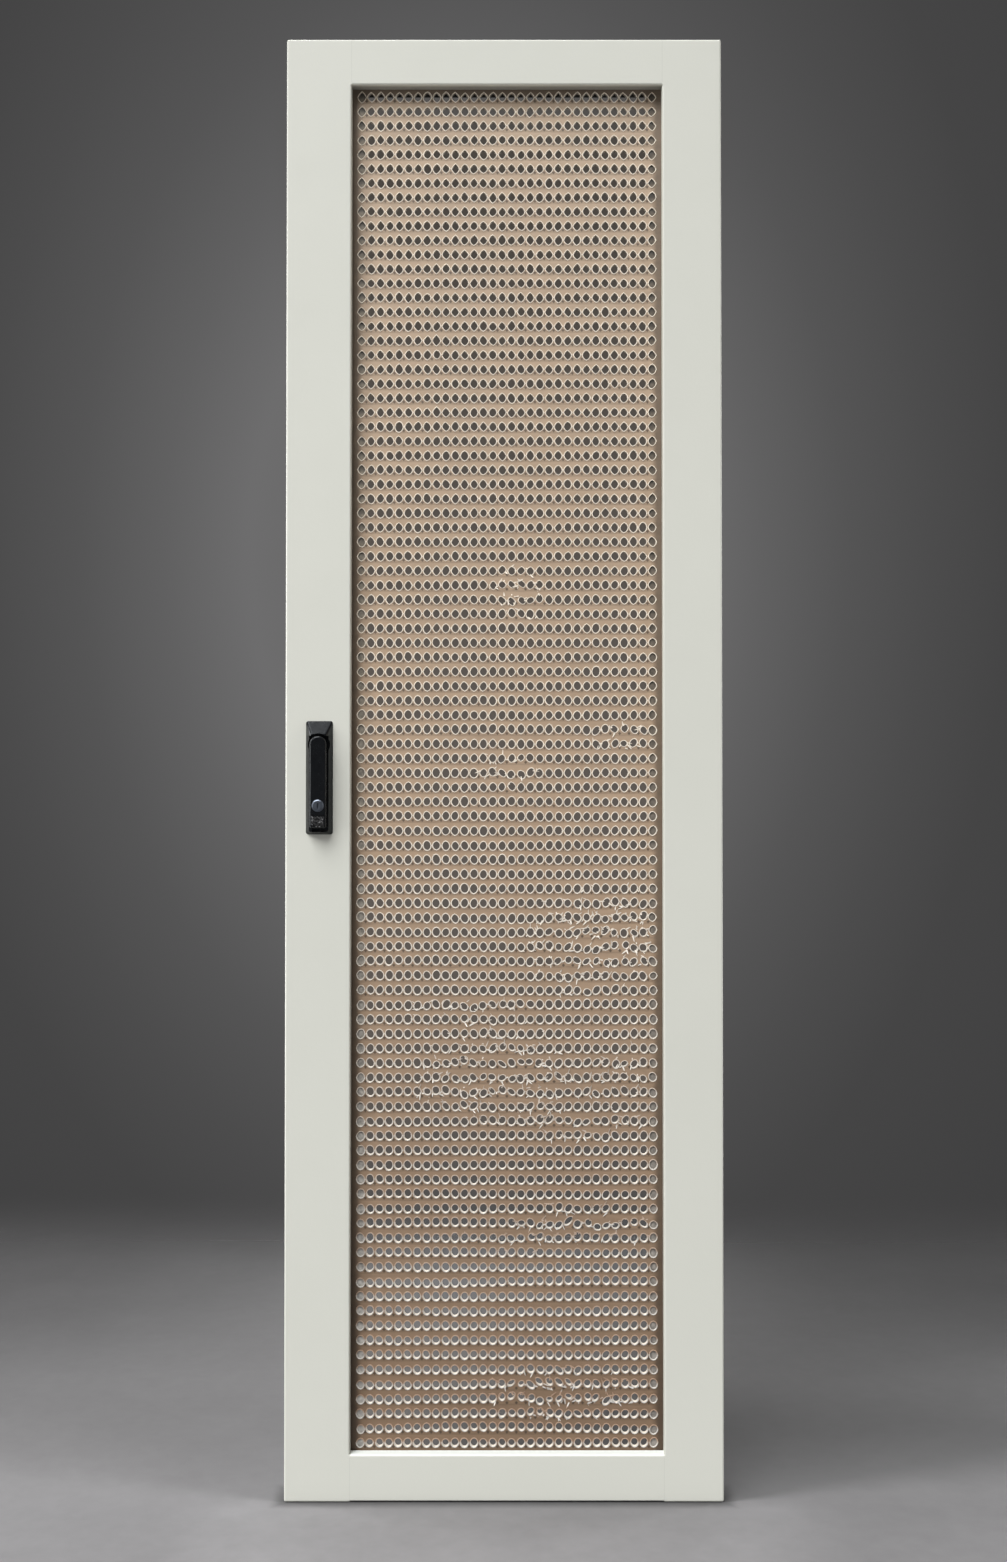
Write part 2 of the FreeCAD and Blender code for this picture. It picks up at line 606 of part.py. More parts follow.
def side_strip(label, hand, x):
    """Upright clamp strip; hand is -1 left of the window and 1 right of it."""
    body = new_body(label, x, "calc.landing_y", "calc.window_bottom + size.strip_end")
    section = new_sketch(body, "section", "XY_Plane")
    add_polygon(section, [(f"{hand} * ({run})", deep) for run, deep in strip_section()])
    pad(body, section, "calc.side_strip")
    hole = new_sketch(body, "stud_hole", "XZ_Plane")
    add_circle(hole, f"{hand} * calc.stud_row", "size.stud_margin", "size.stud_hole")
    drilled = pocket(body, hole, "2 * size.strip_thickness")
    repeat(body, drilled, (hole, ["V_Axis"]), "calc.side_span", "calc.side_studs")


def end_strip(label, hand, z):
    """Level clamp strip; hand is -1 below the window and 1 above it."""
    body = new_body(label, "calc.window_left + size.strip_end", "calc.landing_y", z)
    section = new_sketch(body, "section", "YZ_Plane")
    add_polygon(section, [(deep, f"{hand} * ({run})") for run, deep in strip_section()])
    pad(body, section, "calc.end_strip")
    hole = new_sketch(body, "stud_hole", "XZ_Plane")
    add_circle(hole, "size.stud_margin", f"{hand} * calc.stud_row", "size.stud_hole")
    drilled = pocket(body, hole, "2 * size.strip_thickness")
    repeat(body, drilled, (hole, ["H_Axis"]), "calc.end_span", "calc.end_studs")


def stud_places():
    """Rules for the X and Z of every clamp stud."""
    start = "size.strip_end + size.stud_margin"
    spots = []
    for x in ("calc.window_left - calc.stud_row", "calc.window_right + calc.stud_row"):
        for i in range(round(calc.side_studs)):
            step = f"{i} * calc.side_span / (calc.side_studs - 1)"
            spots.append((x, f"calc.window_bottom + {start} + {step}"))
    for z in ("calc.window_bottom - calc.stud_row", "calc.window_top + calc.stud_row"):
        for i in range(round(calc.end_studs)):
            step = f"{i} * calc.end_span / (calc.end_studs - 1)"
            spots.append((f"calc.window_left + {start} + {step}", z))
    return spots


def clamp_fasteners():
    studs, nuts = [], []
    seat = "calc.landing_y + size.strip_thickness"
    for i, (x, z) in enumerate(stud_places(), start=1):
        studs.append(rod(f"stud_{i}", x, "calc.landing_y", z, "size.stud_diameter", "size.stud_length"))
        blank = hexagon(f"nut_blank_{i}", x, seat, z, "size.nut_flats", "size.nut_height")
        bore = rod(f"nut_bore_{i}", x, seat, z, "size.nut_bore", "size.nut_height")
        nuts.append(cut(f"nut_{i}", blank, bore))
    group("clamp_studs", studs)
    group("clamp_nuts", nuts)


def handle_dish():
    """Cast dish: sloping walls, a hipped hood, a round pocket, a finger recess and a bearing boss."""
    body = handle_body("handle_dish")
    half, slope = "size.dish_width / 2", "size.dish_side_slope"
    foot = new_sketch(body, "foot", "XZ_Plane")
    add_box(foot, f"-{half}", half, "-size.dish_below", "size.dish_above")
    rim = new_sketch(body, "rim", "XZ_Plane", "size.dish_rise")
    add_box(rim, f"{slope} - {half}", f"{half} - {slope}", "size.dish_end_slope - size.dish_below", "size.hood_crest")
    loft(body, foot, rim)
    hood_foot = new_sketch(body, "hood_foot", "XZ_Plane")
    add_box(hood_foot, f"-{half}", half, "size.hood_start", "size.dish_above")
    crest = new_sketch(body, "hood_crest", "XZ_Plane", "size.hood_rise")
    add_box(crest, "-size.hood_width / 2", "size.hood_width / 2", "size.hood_start", "size.hood_crest")
    loft(body, hood_foot, crest)
    corners = [f"Edge{i}" for i, edge in enumerate(body.Tip.Shape.Edges, start=1) if is_dish_corner(edge)]
    round_edges(body, corners, "size.dish_corner", "corners")

    head = new_sketch(body, "pocket", "XZ_Plane", "size.hood_rise")
    add_circle(head, "0", "0", "size.pocket_diameter")
    pocket(body, head, "size.hood_rise - size.pocket_floor")
    finger = new_sketch(body, "recess", "XZ_Plane", "size.dish_rise")
    add_box(finger, "-size.recess_width / 2", "size.recess_width / 2",
            "size.recess_wall - size.dish_below", "-size.recess_top")
    pocket(body, finger, "size.dish_rise - size.recess_floor")
    boss = new_sketch(body, "boss", "XZ_Plane", "size.recess_floor")
    add_circle(boss, "0", "0", "size.boss_diameter")
    pad(body, boss, "size.recess_floor + size.boss_reach", BACK)
    bore = new_sketch(body, "bore", "XZ_Plane", "size.pocket_floor")
    add_circle(bore, "0", "0", "size.shaft_diameter + 2 * size.shaft_clearance")
    pocket(body, bore)
    screws = new_sketch(body, "screws", "XZ_Plane")
    for spot in ("size.upper_screw", "-size.lower_screw"):
        add_circle(screws, "0", spot, "size.screw_diameter")
    pocket(body, screws, "size.screw_depth", FRONT)


def is_dish_corner(edge):
    """True for the sloping edges that rise from the dish's four corners."""
    low, high = sorted((vertex.Point for vertex in edge.Vertexes), key=lambda point: -point.y)
    starts = abs(low.y) < NEAR and abs(abs(low.x) - size.dish_width / 2) < NEAR
    ends = abs(low.z - size.dish_above) < NEAR or abs(low.z + size.dish_below) < NEAR
    return starts and ends and high.y < low.y - NEAR


def dish_fixings():
    body = handle_body("handle_backplate")
    outline = new_sketch(body, "outline", "XZ_Plane", "-size.sheet_thickness")
    add_box(outline, "-size.plate_width / 2", "size.plate_width / 2",
            "-size.lower_screw - size.plate_border", "size.upper_screw + size.plate_border")
    pad(body, outline, "size.plate_thickness", BACK)
    holes = new_sketch(body, "holes", "XZ_Plane", "-size.sheet_thickness")
    add_circle(holes, "0", "0", "size.boss_diameter + 2 * size.cutout_gap")
    for spot in ("size.upper_screw", "-size.lower_screw"):
        add_circle(holes, "0", spot, "size.screw_hole")
    pocket(body, holes)

    screws = []
    back = "calc.front_y + calc.plate_back"
    for name, spot in (("upper", "size.upper_screw"), ("lower", "-size.lower_screw")):
        z = f"calc.handle_z + {spot}"
        length = "size.screw_depth + calc.plate_back"
        shank = rod(f"{name}_shank", "calc.handle_x", "calc.front_y - size.screw_depth", z,
                    "size.screw_diameter", length)
        head = rod(f"{name}_head", "calc.handle_x", back, z, "size.screw_head", "size.screw_head_height")
        screws.append(fuse(f"{name}_dish_screw", shank, head))
    group("dish_screws", screws)


def spindle_hub():
    """Turned hub: disc in the pocket, shaft through the boss, square for the cam, tongue for the lever."""
    body = handle_body("spindle_hub")
    profile = new_sketch(body, "profile", "XY_Plane")
    disc, shaft = "size.hub_diameter / 2", "size.shaft_diameter / 2"
    groove, neck = "size.clip_groove / 2", "size.neck_diameter / 2"
    front, back, end, step = "-calc.hub_front", "-calc.hub_back", "calc.shaft_end", "calc.groove_end"
    add_polygon(profile, [("0", front), (disc, front), (disc, back), (shaft, back), (shaft, end), (groove, end),
                          (groove, step), (neck, step), (neck, "size.cam_depth"), ("0", "size.cam_depth")])
    revolve(body, profile, "V_Axis")
    square = new_sketch(body, "square", "XZ_Plane", "-size.cam_depth")
    tip = "size.spindle_square / sqrt(2)"
    add_polygon(square, [(tip, "0"), ("0", tip), (f"-{tip}", "0"), ("0", f"-{tip}")])
    pad(body, square, "size.cam_thickness - size.shaft_clearance", BACK)
    tongue = new_sketch(body, "tongue", "YZ_Plane")
    add_box(tongue, "-size.pivot_rise", front, "-size.tongue_radius", "size.tongue_radius")
    pad(body, tongue, "size.tongue_width", symmetric=True)
    eye = new_sketch(body, "eye", "YZ_Plane")
    add_circle(eye, "-size.pivot_rise", "0", "2 * size.tongue_radius")
    pad(body, eye, "size.tongue_width", symmetric=True)
    pin = new_sketch(body, "pin_hole", "YZ_Plane")
    add_circle(pin, "-size.pivot_rise", "0", "size.lever_pin_diameter + 2 * size.pin_clearance")
    pocket(body, pin, "2 * size.tongue_width", symmetric=True)
    thread = new_sketch(body, "screw_hole", "XZ_Plane", "-calc.cam_back")
    add_circle(thread, "0", "0", "size.screw_diameter")
    pocket(body, thread, "size.cam_screw_depth", FRONT)

    clip = handle_body("spindle_clip")
    ring = new_sketch(clip, "ring", "XZ_Plane", "-calc.clip_front")
    add_circle(ring, "0", "0", "size.clip_diameter")
    add_circle(ring, "0", "0", "size.clip_groove + 2 * size.pin_clearance")
    pad(clip, ring, "size.clip_thickness", BACK)
    mouth = new_sketch(clip, "mouth", "XZ_Plane", "-calc.clip_front")
    gap = "size.clip_groove / 3"
    add_box(mouth, f"-{gap}", gap, "-size.clip_diameter", "0")
    pocket(clip, mouth)


def swing_lever():
    """Cast lever: round head with a mortise for the tongue, hollow back, seats for lock and grip pad."""
    body = handle_body("swing_lever")
    half, back, front = "size.lever_width / 2", "calc.lever_back", "calc.lever_front"
    shank = new_sketch(body, "shank", "XZ_Plane", back)
    add_box(shank, f"-{half}", half, "-size.lever_below", "0")
    pad(body, shank, "size.lever_thickness")
    head = new_sketch(body, "head", "XZ_Plane", back)
    add_circle(head, "0", "0", "size.lever_width")
    pad(body, head, "size.lever_thickness")
    side = size.lever_width / 2
    ends = edges_along(body.Tip.Shape, "y", [(side, -size.lever_below), (-side, -size.lever_below)])
    round_edges(body, ends, "size.lever_corner", "end_corners")
    round_edges(body, edges_of_face(body.Tip.Shape, "y", -calc.lever_front), "size.lever_edge", "front_edge")

    mortise = new_sketch(body, "mortise", "XZ_Plane", back)
    cheek = "size.tongue_width / 2 + size.mortise_gap"
    add_box(mortise, f"-({cheek})", cheek, "-size.mortise_below", "size.lever_width")
    pocket(body, mortise, "size.lever_thickness - size.lever_shell", FRONT)
    relief = new_sketch(body, "head_relief", "XZ_Plane", back)
    add_box(relief, "-size.lever_width", "size.lever_width", "size.relief_start", "size.lever_width")
    pocket(body, relief, "size.relief_depth", FRONT)
    hollow = new_sketch(body, "hollow", "XZ_Plane", back)
    add_box(hollow, f"size.hollow_wall - {half}", f"{half} - size.hollow_wall",
            "-size.hollow_bottom", "-size.hollow_top")
    pocket(body, hollow, "size.lever_thickness - size.lever_shell", FRONT)
    bore = new_sketch(body, "lock_bore", "XZ_Plane", front)
    add_circle(bore, "0", "-size.lock_drop", "size.lock_diameter")
    pocket(body, bore)
    seat = new_sketch(body, "grip_seat", "XZ_Plane", front)
    wide, tall = "size.grip_width / 2 + size.grip_gap", "size.grip_length / 2 + size.grip_gap"
    add_box(seat, f"-({wide})", wide, f"-size.grip_drop - ({tall})", f"{tall} - size.grip_drop")
    pocket(body, seat, "size.grip_depth")
    groove = new_sketch(body, "groove", "XZ_Plane", front)
    add_box(groove, f"-{half}", half, "-size.groove_drop - size.groove_width / 2",
            "size.groove_width / 2 - size.groove_drop")
    pocket(body, groove, "size.groove_depth")
    pin = new_sketch(body, "pin_hole", "YZ_Plane")
    add_circle(pin, "-size.pivot_rise", "0", "size.lever_pin_diameter")
    pocket(body, pin, "2 * size.lever_width", symmetric=True)

    shaft = handle_body("lever_pin")
    circle = new_sketch(shaft, "section", "YZ_Plane")
    add_circle(circle, "-size.pivot_rise", "0", "size.lever_pin_diameter")
    pad(shaft, circle, "size.lever_width - size.lever_shell", symmetric=True)

    grip = handle_body("grip_pad")
    pad_face = new_sketch(grip, "outline", "XZ_Plane", "calc.grip_seat")
    add_box(pad_face, "-size.grip_width / 2", "size.grip_width / 2",
            "-size.grip_drop - size.grip_length / 2", "size.grip_length / 2 - size.grip_drop")
    pad(grip, pad_face, "size.grip_depth + size.grip_proud")


def lock():
    """Key lock in the lever: housing, turning plug with a keyway, tailpiece."""
    drop = "-size.lock_drop"
    housing = handle_body("lock_housing")
    barrel = new_sketch(housing, "barrel", "XZ_Plane", "calc.lock_back")
    add_circle(barrel, "0", drop, "size.lock_diameter")
    add_circle(barrel, "0", drop, "size.plug_diameter + 2 * size.pin_clearance")
    pad(housing, barrel, "size.lock_depth + size.lock_proud")
    rim = edges_of_face(housing.Tip.Shape, "y", -calc.lock_front)
    widest = max(rim, key=lambda name: housing.Tip.Shape.getElement(name).Length)
    dress(housing, "Chamfer", [widest], "size.lock_edge", "rim")

    plug = handle_body("lock_plug")
    face = new_sketch(plug, "face", "XZ_Plane", "calc.plug_back")
    add_circle(face, "0", drop, "size.plug_diameter")
    pad(plug, face, "calc.lock_front - calc.plug_back")
    key = new_sketch(plug, "keyway", "XZ_Plane", "calc.lock_front")
    add_box(key, "-size.keyway_width / 2", "size.keyway_width / 2",
            f"{drop} - size.keyway_length / 2", f"{drop} + size.keyway_length / 2")
    pocket(plug, key, "size.keyway_depth")

    tail = handle_body("lock_tailpiece")
    bar = new_sketch(tail, "outline", "XZ_Plane", "calc.plug_back")
    add_box(bar, "-size.tail_width / 2", "size.tail_width / 2",
            f"{drop} - size.tail_length / 2", f"{drop} + size.tail_length / 2")
    pad(tail, bar, "size.tail_thickness", BACK)


def latch_cam():
    """Two-armed cam on the square, with a pin for each lock bar."""
    body = handle_body("latch_cam")
    body.Placement.Rotation = FreeCAD.Rotation(FreeCAD.Vector(0, -1, 0), size.cam_angle)
    arms = new_sketch(body, "arms", "XZ_Plane", "-size.cam_depth")
    reach = "size.cam_radius + size.cam_margin"
    add_box(arms, f"-({reach})", reach, "-size.cam_width / 2", "size.cam_width / 2")
    pad(body, arms, "size.cam_thickness", BACK)
    far, wide = size.cam_radius + size.cam_margin, size.cam_width / 2
    spots = [(x, z) for x in (-far, far) for z in (-wide, wide)]
    round_edges(body, edges_along(body.Tip.Shape, "y", spots), "size.cam_corner", "corners")
    middle = new_sketch(body, "middle", "XZ_Plane", "-size.cam_depth")
    add_circle(middle, "0", "0", "size.cam_hub")
    pad(body, middle, "size.cam_thickness", BACK)
    holes = new_sketch(body, "holes", "XZ_Plane", "-size.cam_depth")
    half = "(size.spindle_square / 2 + size.pin_clearance)"
    add_box(holes, f"-{half}", half, f"-{half}", half)
    for x in ("-size.cam_radius", "size.cam_radius"):
        add_circle(holes, x, "0", "size.cam_pin_diameter")
    pocket(body, holes)

    pins = []
    front = "calc.front_y + size.cam_depth - size.cam_pin_reach"
    for i, side in enumerate(("", "-"), start=1):
        run = f"{side}size.cam_radius * cos(size.cam_angle * 1deg)"
        rise = f"{side}size.cam_radius * sin(size.cam_angle * 1deg)"
        pins.append(rod(f"cam_pin_{i}", f"calc.handle_x + {run}", front, f"calc.handle_z + {rise}",
                        "size.cam_pin_diameter", "size.cam_pin_reach + size.cam_thickness"))
    group("cam_pins", pins)


def cam_fixings():
    x, z = "calc.handle_x", "calc.handle_z"
    seat = "calc.front_y + calc.cam_back"
    disc = rod("washer_disc", x, seat, z, "size.washer_diameter", "size.washer_thickness")
    bore = rod("washer_hole", x, seat, z, "size.washer_bore", "size.washer_thickness")
    pieces.append(cut("cam_washer", disc, bore))
    head_y = f"{seat} + size.washer_thickness"
    head = hexagon("cam_screw_hex", x, head_y, z, "size.cam_screw_flats", "size.cam_screw_head")
    shank = rod("cam_screw_shank", x, f"{seat} - size.cam_screw_depth", z,
                "size.screw_diameter", "size.cam_screw_depth + size.washer_thickness")
    pieces.append(fuse("cam_screw", head, shank))


def lock_bar(label, hand, reach):
    """Flat bar with a yoke slot at the cam and a latch tab at its end; hand is -1 for the upper bar."""
    body = handle_body(label)
    across = lambda rule: f"{hand} * ({rule})"
    along = lambda rule: f"{-hand} * ({rule})"
    blank = new_sketch(body, "blank", "XZ_Plane", "-size.bar_depth")
    add_box(blank, across("size.bar_inner"), across("size.bar_outer"), along("size.bar_tail"), along(reach))
    pad(body, blank, "size.bar_thickness", BACK)
    tab = new_sketch(body, "tab", "XZ_Plane", "-size.bar_depth")
    add_box(tab, across("size.bar_inner + size.tab_inset"), across("size.bar_outer - size.tab_inset"),
            along(f"{reach} - size.bar_thickness"), along(reach))
    pad(body, tab, "size.tab_reach", BACK)
    end = -hand * getattr(calc, reach.split(".")[1])
    inner = end + hand * size.bar_thickness
    corner = edges_along(body.Tip.Shape, "x", [(calc.bar_back, inner)])
    round_edges(body, corner, "size.tab_bend", "bend_inside")
    yoke = new_sketch(body, "yoke", "XZ_Plane", "-size.bar_depth")
    add_box(yoke, across("calc.yoke_near"), across("calc.yoke_far"), along("calc.yoke_low"), along("calc.yoke_high"))
    pocket(body, yoke, "2 * size.bar_thickness")


def bar_guides():
    """Nylon blocks on the inside of the stile's face that keep the lock bars straight."""
    guides = []
    spots = (("-calc.bar_middle", "size.guide_near"), ("-calc.bar_middle", "calc.upper_reach - size.guide_far"),
             ("calc.bar_middle", "-size.guide_near"), ("calc.bar_middle", "size.guide_far - calc.lower_reach"))
    half, slot = "size.guide_width / 2", "(size.bar_outer - size.bar_inner) / 2 + size.guide_clearance"
    for i, (x, z) in enumerate(spots, start=1):
        body = doc.addObject("PartDesign::Body", f"bar_guide_{i}")
        place(body, f"calc.handle_x + {x}", "calc.front_y", f"calc.handle_z + {z}")
        section = new_sketch(body, "section", "XY_Plane")
        front = "size.sheet_thickness"
        add_box(section, f"-{half}", half, front, f"{front} + size.guide_depth")
        add_box(section, f"-({slot})", slot, "size.bar_depth - size.guide_clearance",
                "calc.bar_back + size.guide_clearance")
        pad(body, section, "size.guide_length", symmetric=True)
        guides.append(body)
    group("bar_guides", guides)


def upper_hinge():
    """Folded bracket with two ears for the spring pin."""
    body = new_body("upper_hinge_bracket", z="calc.upper_hinge_z")
    near, far, gauge = "calc.bracket_y", "size.ear_reach", "size.bracket_gauge"
    foot, inner = "-size.bracket_height", f"{near} + {gauge}"
    section = new_sketch(body, "section", "YZ_Plane")
    add_polygon(section, [(near, "0"), (far, "0"), (far, f"-{gauge}"), (inner, f"-{gauge}"),
                          (inner, f"{foot} + {gauge}"), (far, f"{foot} + {gauge}"), (far, foot), (near, foot)])
    pad(body, section, "size.bracket_width", symmetric=True)
    finish_bracket(body, [0, -size.bracket_height], [-size.bracket_gauge, size.bracket_gauge - size.bracket_height])
    holes = new_sketch(body, "pin_holes", "XY_Plane")
    add_circle(holes, "0", "0", "size.hinge_pin_diameter + 2 * size.shaft_clearance")
    pocket(body, holes)


def finish_bracket(body, outside, inside):
    """Round a hinge bracket's bends and the corners of its ears."""
    near = calc.bracket_y
    outer = edges_along(body.Tip.Shape, "x", [(near, z) for z in outside])
    round_edges(body, outer, "size.bracket_bend + size.bracket_gauge", "bend_outside")
    inner = edges_along(body.Tip.Shape, "x", [(near + size.bracket_gauge, z) for z in inside])
    round_edges(body, inner, "size.bracket_bend", "bend_inside")
    side = size.bracket_width / 2
    tips = edges_along(body.Tip.Shape, "z", [(side, size.ear_reach), (-side, size.ear_reach)])
    round_edges(body, tips, "size.ear_corner", "ear_corners")


def hinge_pin():
    """Spring pin: nose, clip groove, shank and a bent pull."""
    body = new_body("hinge_pin", z="calc.upper_hinge_z")
    nose, shank, groove = "size.hinge_nose_diameter / 2", "size.hinge_pin_diameter / 2", "size.hinge_clip_groove / 2"
    step = "size.hinge_nose_step"
    top = f"{step} + size.hinge_nose_length"
    profile = new_sketch(body, "profile", "XZ_Plane")
    slack = "size.shaft_clearance"
    add_polygon(profile, [("0", f"{top} + size.hinge_nose_lead"), (f"{nose} - size.hinge_nose_lead",
                          f"{top} + size.hinge_nose_lead"), (nose, top), (nose, step), (shank, step),
                          (shank, f"calc.clip_top + {slack}"), (groove, f"calc.clip_top + {slack}"),
                          (groove, f"calc.clip_foot - {slack}"), (shank, f"calc.clip_foot - {slack}"),
                          (shank, "calc.tail_start"), ("0", "calc.tail_start")])
    revolve(body, profile, "V_Axis")
    pull = new_sketch(body, "pull_section", "XY_Plane", "calc.tail_start")
    add_circle(pull, "0", "0", "size.hinge_pin_diameter")
    route = new_sketch(body, "pull_route", "XZ_Plane")
    radius, start, run = size.hinge_tail_bend, calc.tail_start, size.hinge_tail_length
    middle = FreeCAD.Vector(-radius, start, 0)
    turn = Part.Circle(middle, FreeCAD.Vector(0, 0, 1), radius)
    arc = route.addGeometry(Part.ArcOfCircle(turn, -math.pi / 2, 0), False)
    low = FreeCAD.Vector(-radius, start - radius, 0)
    line = route.addGeometry(Part.LineSegment(low, low - FreeCAD.Vector(run, 0, 0)), False)
    fix_point(route, arc, 2, "0", "calc.tail_start")
    fix_point(route, arc, 3, "-size.hinge_tail_bend", "calc.tail_start")
    route.addConstraint(Sketcher.Constraint("Tangent", line, 1, arc, 1))
    route.addConstraint(Sketcher.Constraint("Horizontal", line))
    bind(route, Sketcher.Constraint("Distance", line, run), "size.hinge_tail_length")
    doc.recompute()
    sweep = body.newObject("PartDesign::AdditivePipe", "hinge_pin_pull")
    sweep.Profile = pull
    sweep.Spine = (route, ["Edge1", "Edge2"])
    doc.recompute()

    clip = new_body("hinge_pin_clip", z="calc.upper_hinge_z")
    ring = new_sketch(clip, "ring", "XY_Plane", "calc.clip_foot")
    add_circle(ring, "0", "0", "size.hinge_clip_diameter")
    add_circle(ring, "0", "0", "size.hinge_clip_groove + 2 * size.pin_clearance")
    pad(clip, ring, "size.hinge_clip_thickness")
    mouth = new_sketch(clip, "mouth", "XY_Plane", "calc.clip_foot")
    gap = "size.hinge_clip_groove / 3"
    add_box(mouth, f"-{gap}", gap, "0", "size.hinge_clip_diameter")
    pocket(clip, mouth, towards=FRONT)


def hinge_spring():
    """Coil spring of square wire round the spring pin, in straight facets."""
    facets_per_turn = 10
    wire, radius = size.coil_wire, size.coil_radius
    foot, top = calc.coil_foot + wire / 2, calc.coil_top - wire / 2
    count = round(size.coil_turns * facets_per_turn)
    rings = []
    for i in range(count + 1):
        angle = 2 * math.pi * i / facets_per_turn
        middle = foot + (top - foot) * i / count
        ring = []
        for out, up in ((-1, -1), (1, -1), (1, 1), (-1, 1)):
            reach = radius + out * wire / 2
            ring.append(FreeCAD.Vector(reach * math.cos(angle), reach * math.sin(angle), middle + up * wire / 2))
        rings.append(ring)
    corners = []
    for low, high in zip(rings, rings[1:]):
        for i in range(4):
            following = (i + 1) % 4
            corners.append((low[i], low[following], high[following]))
            corners.append((low[i], high[following], high[i]))
    faces = [Part.Face(Part.makePolygon([a, b, c, a])) for a, b, c in corners]
    faces += [Part.Face(Part.makePolygon(ring + ring[:1])) for ring in (rings[0], rings[-1])]
    coil = doc.addObject("Part::Feature", "hinge_spring")
    coil.Shape = Part.makeSolid(Part.makeShell(faces))
    place(coil, z="calc.upper_hinge_z")
    pieces.append(coil)


def lower_hinge():
    """Folded bracket with one ear, and the flanged bush that the cabinet's pin enters from below."""
    body = new_body("lower_hinge_bracket")
    near, far, gauge = "calc.bracket_y", "size.ear_reach", "size.bracket_gauge"
    seat, inner = "size.bush_flange_thickness", f"calc.bracket_y + {gauge}"
    top = f"{seat} + size.bracket_height"
    section = new_sketch(body, "section", "YZ_Plane")
    add_polygon(section, [(near, seat), (far, seat), (far, f"{seat} + {gauge}"), (inner, f"{seat} + {gauge}"),
                          (inner, top), (near, top)])
    pad(body, section, "size.bracket_width", symmetric=True)
    seat_z = size.bush_flange_thickness
    finish_bracket(body, [seat_z], [seat_z + size.bracket_gauge])
    hole = new_sketch(body, "bush_hole", "XY_Plane", seat)
    add_circle(hole, "0", "0", "size.bush_diameter")
    pocket(body, hole, f"2 * {gauge}", FRONT)

    bush = new_body("lower_hinge_bush")
    profile = new_sketch(bush, "profile", "XZ_Plane")
    bore, wall, flange = "size.bush_bore / 2", "size.bush_diameter / 2", "size.bush_flange / 2"
    add_polygon(profile, [(bore, "0"), (flange, "0"), (flange, seat), (wall, seat),
                          (wall, "size.bush_length"), (bore, "size.bush_length")])
    revolve(bush, profile, "V_Axis")


def earth_stud():
    body = new_body("earth_stud", "size.hinge_inset - size.earth_inset", "calc.earth_y",
                    "calc.foot_z + size.earth_height")
    profile = new_sketch(body, "profile", "XY_Plane")
    radius, length, lead = "size.earth_diameter / 2", "size.earth_length", "size.earth_lead"
    add_polygon(profile, [("0", "0"), (radius, "0"), (radius, length),
                          (f"{radius} - {lead}", f"{length} + {lead}"), ("0", f"{length} + {lead}")])
    revolve(body, profile, "V_Axis")


def export():
    """Check every object, then write one file per piece."""
    doc.recompute()
    for item in doc.Objects:
        if "Invalid" in item.State or "Error" in item.State:
            raise RuntimeError(f"{item.Label} is {item.State}")
    for piece in pieces:
        if piece.Shape.isNull() or not piece.Shape.isValid():
            raise RuntimeError(f"{piece.Label} has no valid shape")
    os.makedirs("parts", exist_ok=True)
    for piece in pieces:
        piece.Shape.exportStep(f"parts/{piece.Label}.step")


handle_stile()
stile("right_stile", "right_stile_width", -1, "size.hinge_inset")
rail("top_rail", -1, "calc.foot_z + size.door_height")
rail("bottom_rail", 1, "calc.foot_z + size.rail_rise")
acrylic_panel()
panel_gasket()
side_strip("clamp_strip_left", -1, "calc.window_left")
side_strip("clamp_strip_right", 1, "calc.window_right")
end_strip("clamp_strip_bottom", -1, "calc.window_bottom")
end_strip("clamp_strip_top", 1, "calc.window_top")
clamp_fasteners()
handle_dish()
dish_fixings()
spindle_hub()
swing_lever()
lock()
latch_cam()
cam_fixings()
lock_bar("upper_lock_bar", -1, "calc.upper_reach")
lock_bar("lower_lock_bar", 1, "calc.lower_reach")
bar_guides()
upper_hinge()
hinge_pin()
hinge_spring()
lower_hinge()
earth_stud()
export()
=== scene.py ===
import json
import math

import bmesh
import bpy
import numpy as np
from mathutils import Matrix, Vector


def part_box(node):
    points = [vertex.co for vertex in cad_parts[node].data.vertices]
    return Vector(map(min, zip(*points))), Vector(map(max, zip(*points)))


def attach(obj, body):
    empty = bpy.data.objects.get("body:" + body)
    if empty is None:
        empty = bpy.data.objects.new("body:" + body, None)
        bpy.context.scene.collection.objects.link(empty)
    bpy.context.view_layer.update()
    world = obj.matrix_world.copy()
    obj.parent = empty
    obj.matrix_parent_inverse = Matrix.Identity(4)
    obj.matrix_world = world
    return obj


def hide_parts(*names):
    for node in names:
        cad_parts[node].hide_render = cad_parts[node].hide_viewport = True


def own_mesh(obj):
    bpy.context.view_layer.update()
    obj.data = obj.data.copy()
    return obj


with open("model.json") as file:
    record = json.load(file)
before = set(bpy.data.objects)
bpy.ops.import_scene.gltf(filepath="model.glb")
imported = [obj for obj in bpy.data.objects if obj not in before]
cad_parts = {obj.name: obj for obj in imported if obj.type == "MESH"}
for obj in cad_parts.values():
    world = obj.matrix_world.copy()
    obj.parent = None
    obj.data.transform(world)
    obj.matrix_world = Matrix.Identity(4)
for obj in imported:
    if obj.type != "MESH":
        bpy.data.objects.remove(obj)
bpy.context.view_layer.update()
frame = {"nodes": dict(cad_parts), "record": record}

# Metres. The door's front faces -Y and the window is the opening in its frame.
WINDOW_LEFT, WINDOW_RIGHT = -0.486, -0.064
WINDOW_FOOT, WINDOW_TOP = -0.037, 1.813
FLOOR_HEIGHT = -0.100
DOOR_LEFT, DOOR_RIGHT, DOOR_FRONT = -0.574, 0.016, -0.045
HANDLE_X, HANDLE_Z = -0.528, 0.9155
SHEET_FRONT, SHEET_BACK = -0.0255, -0.0195
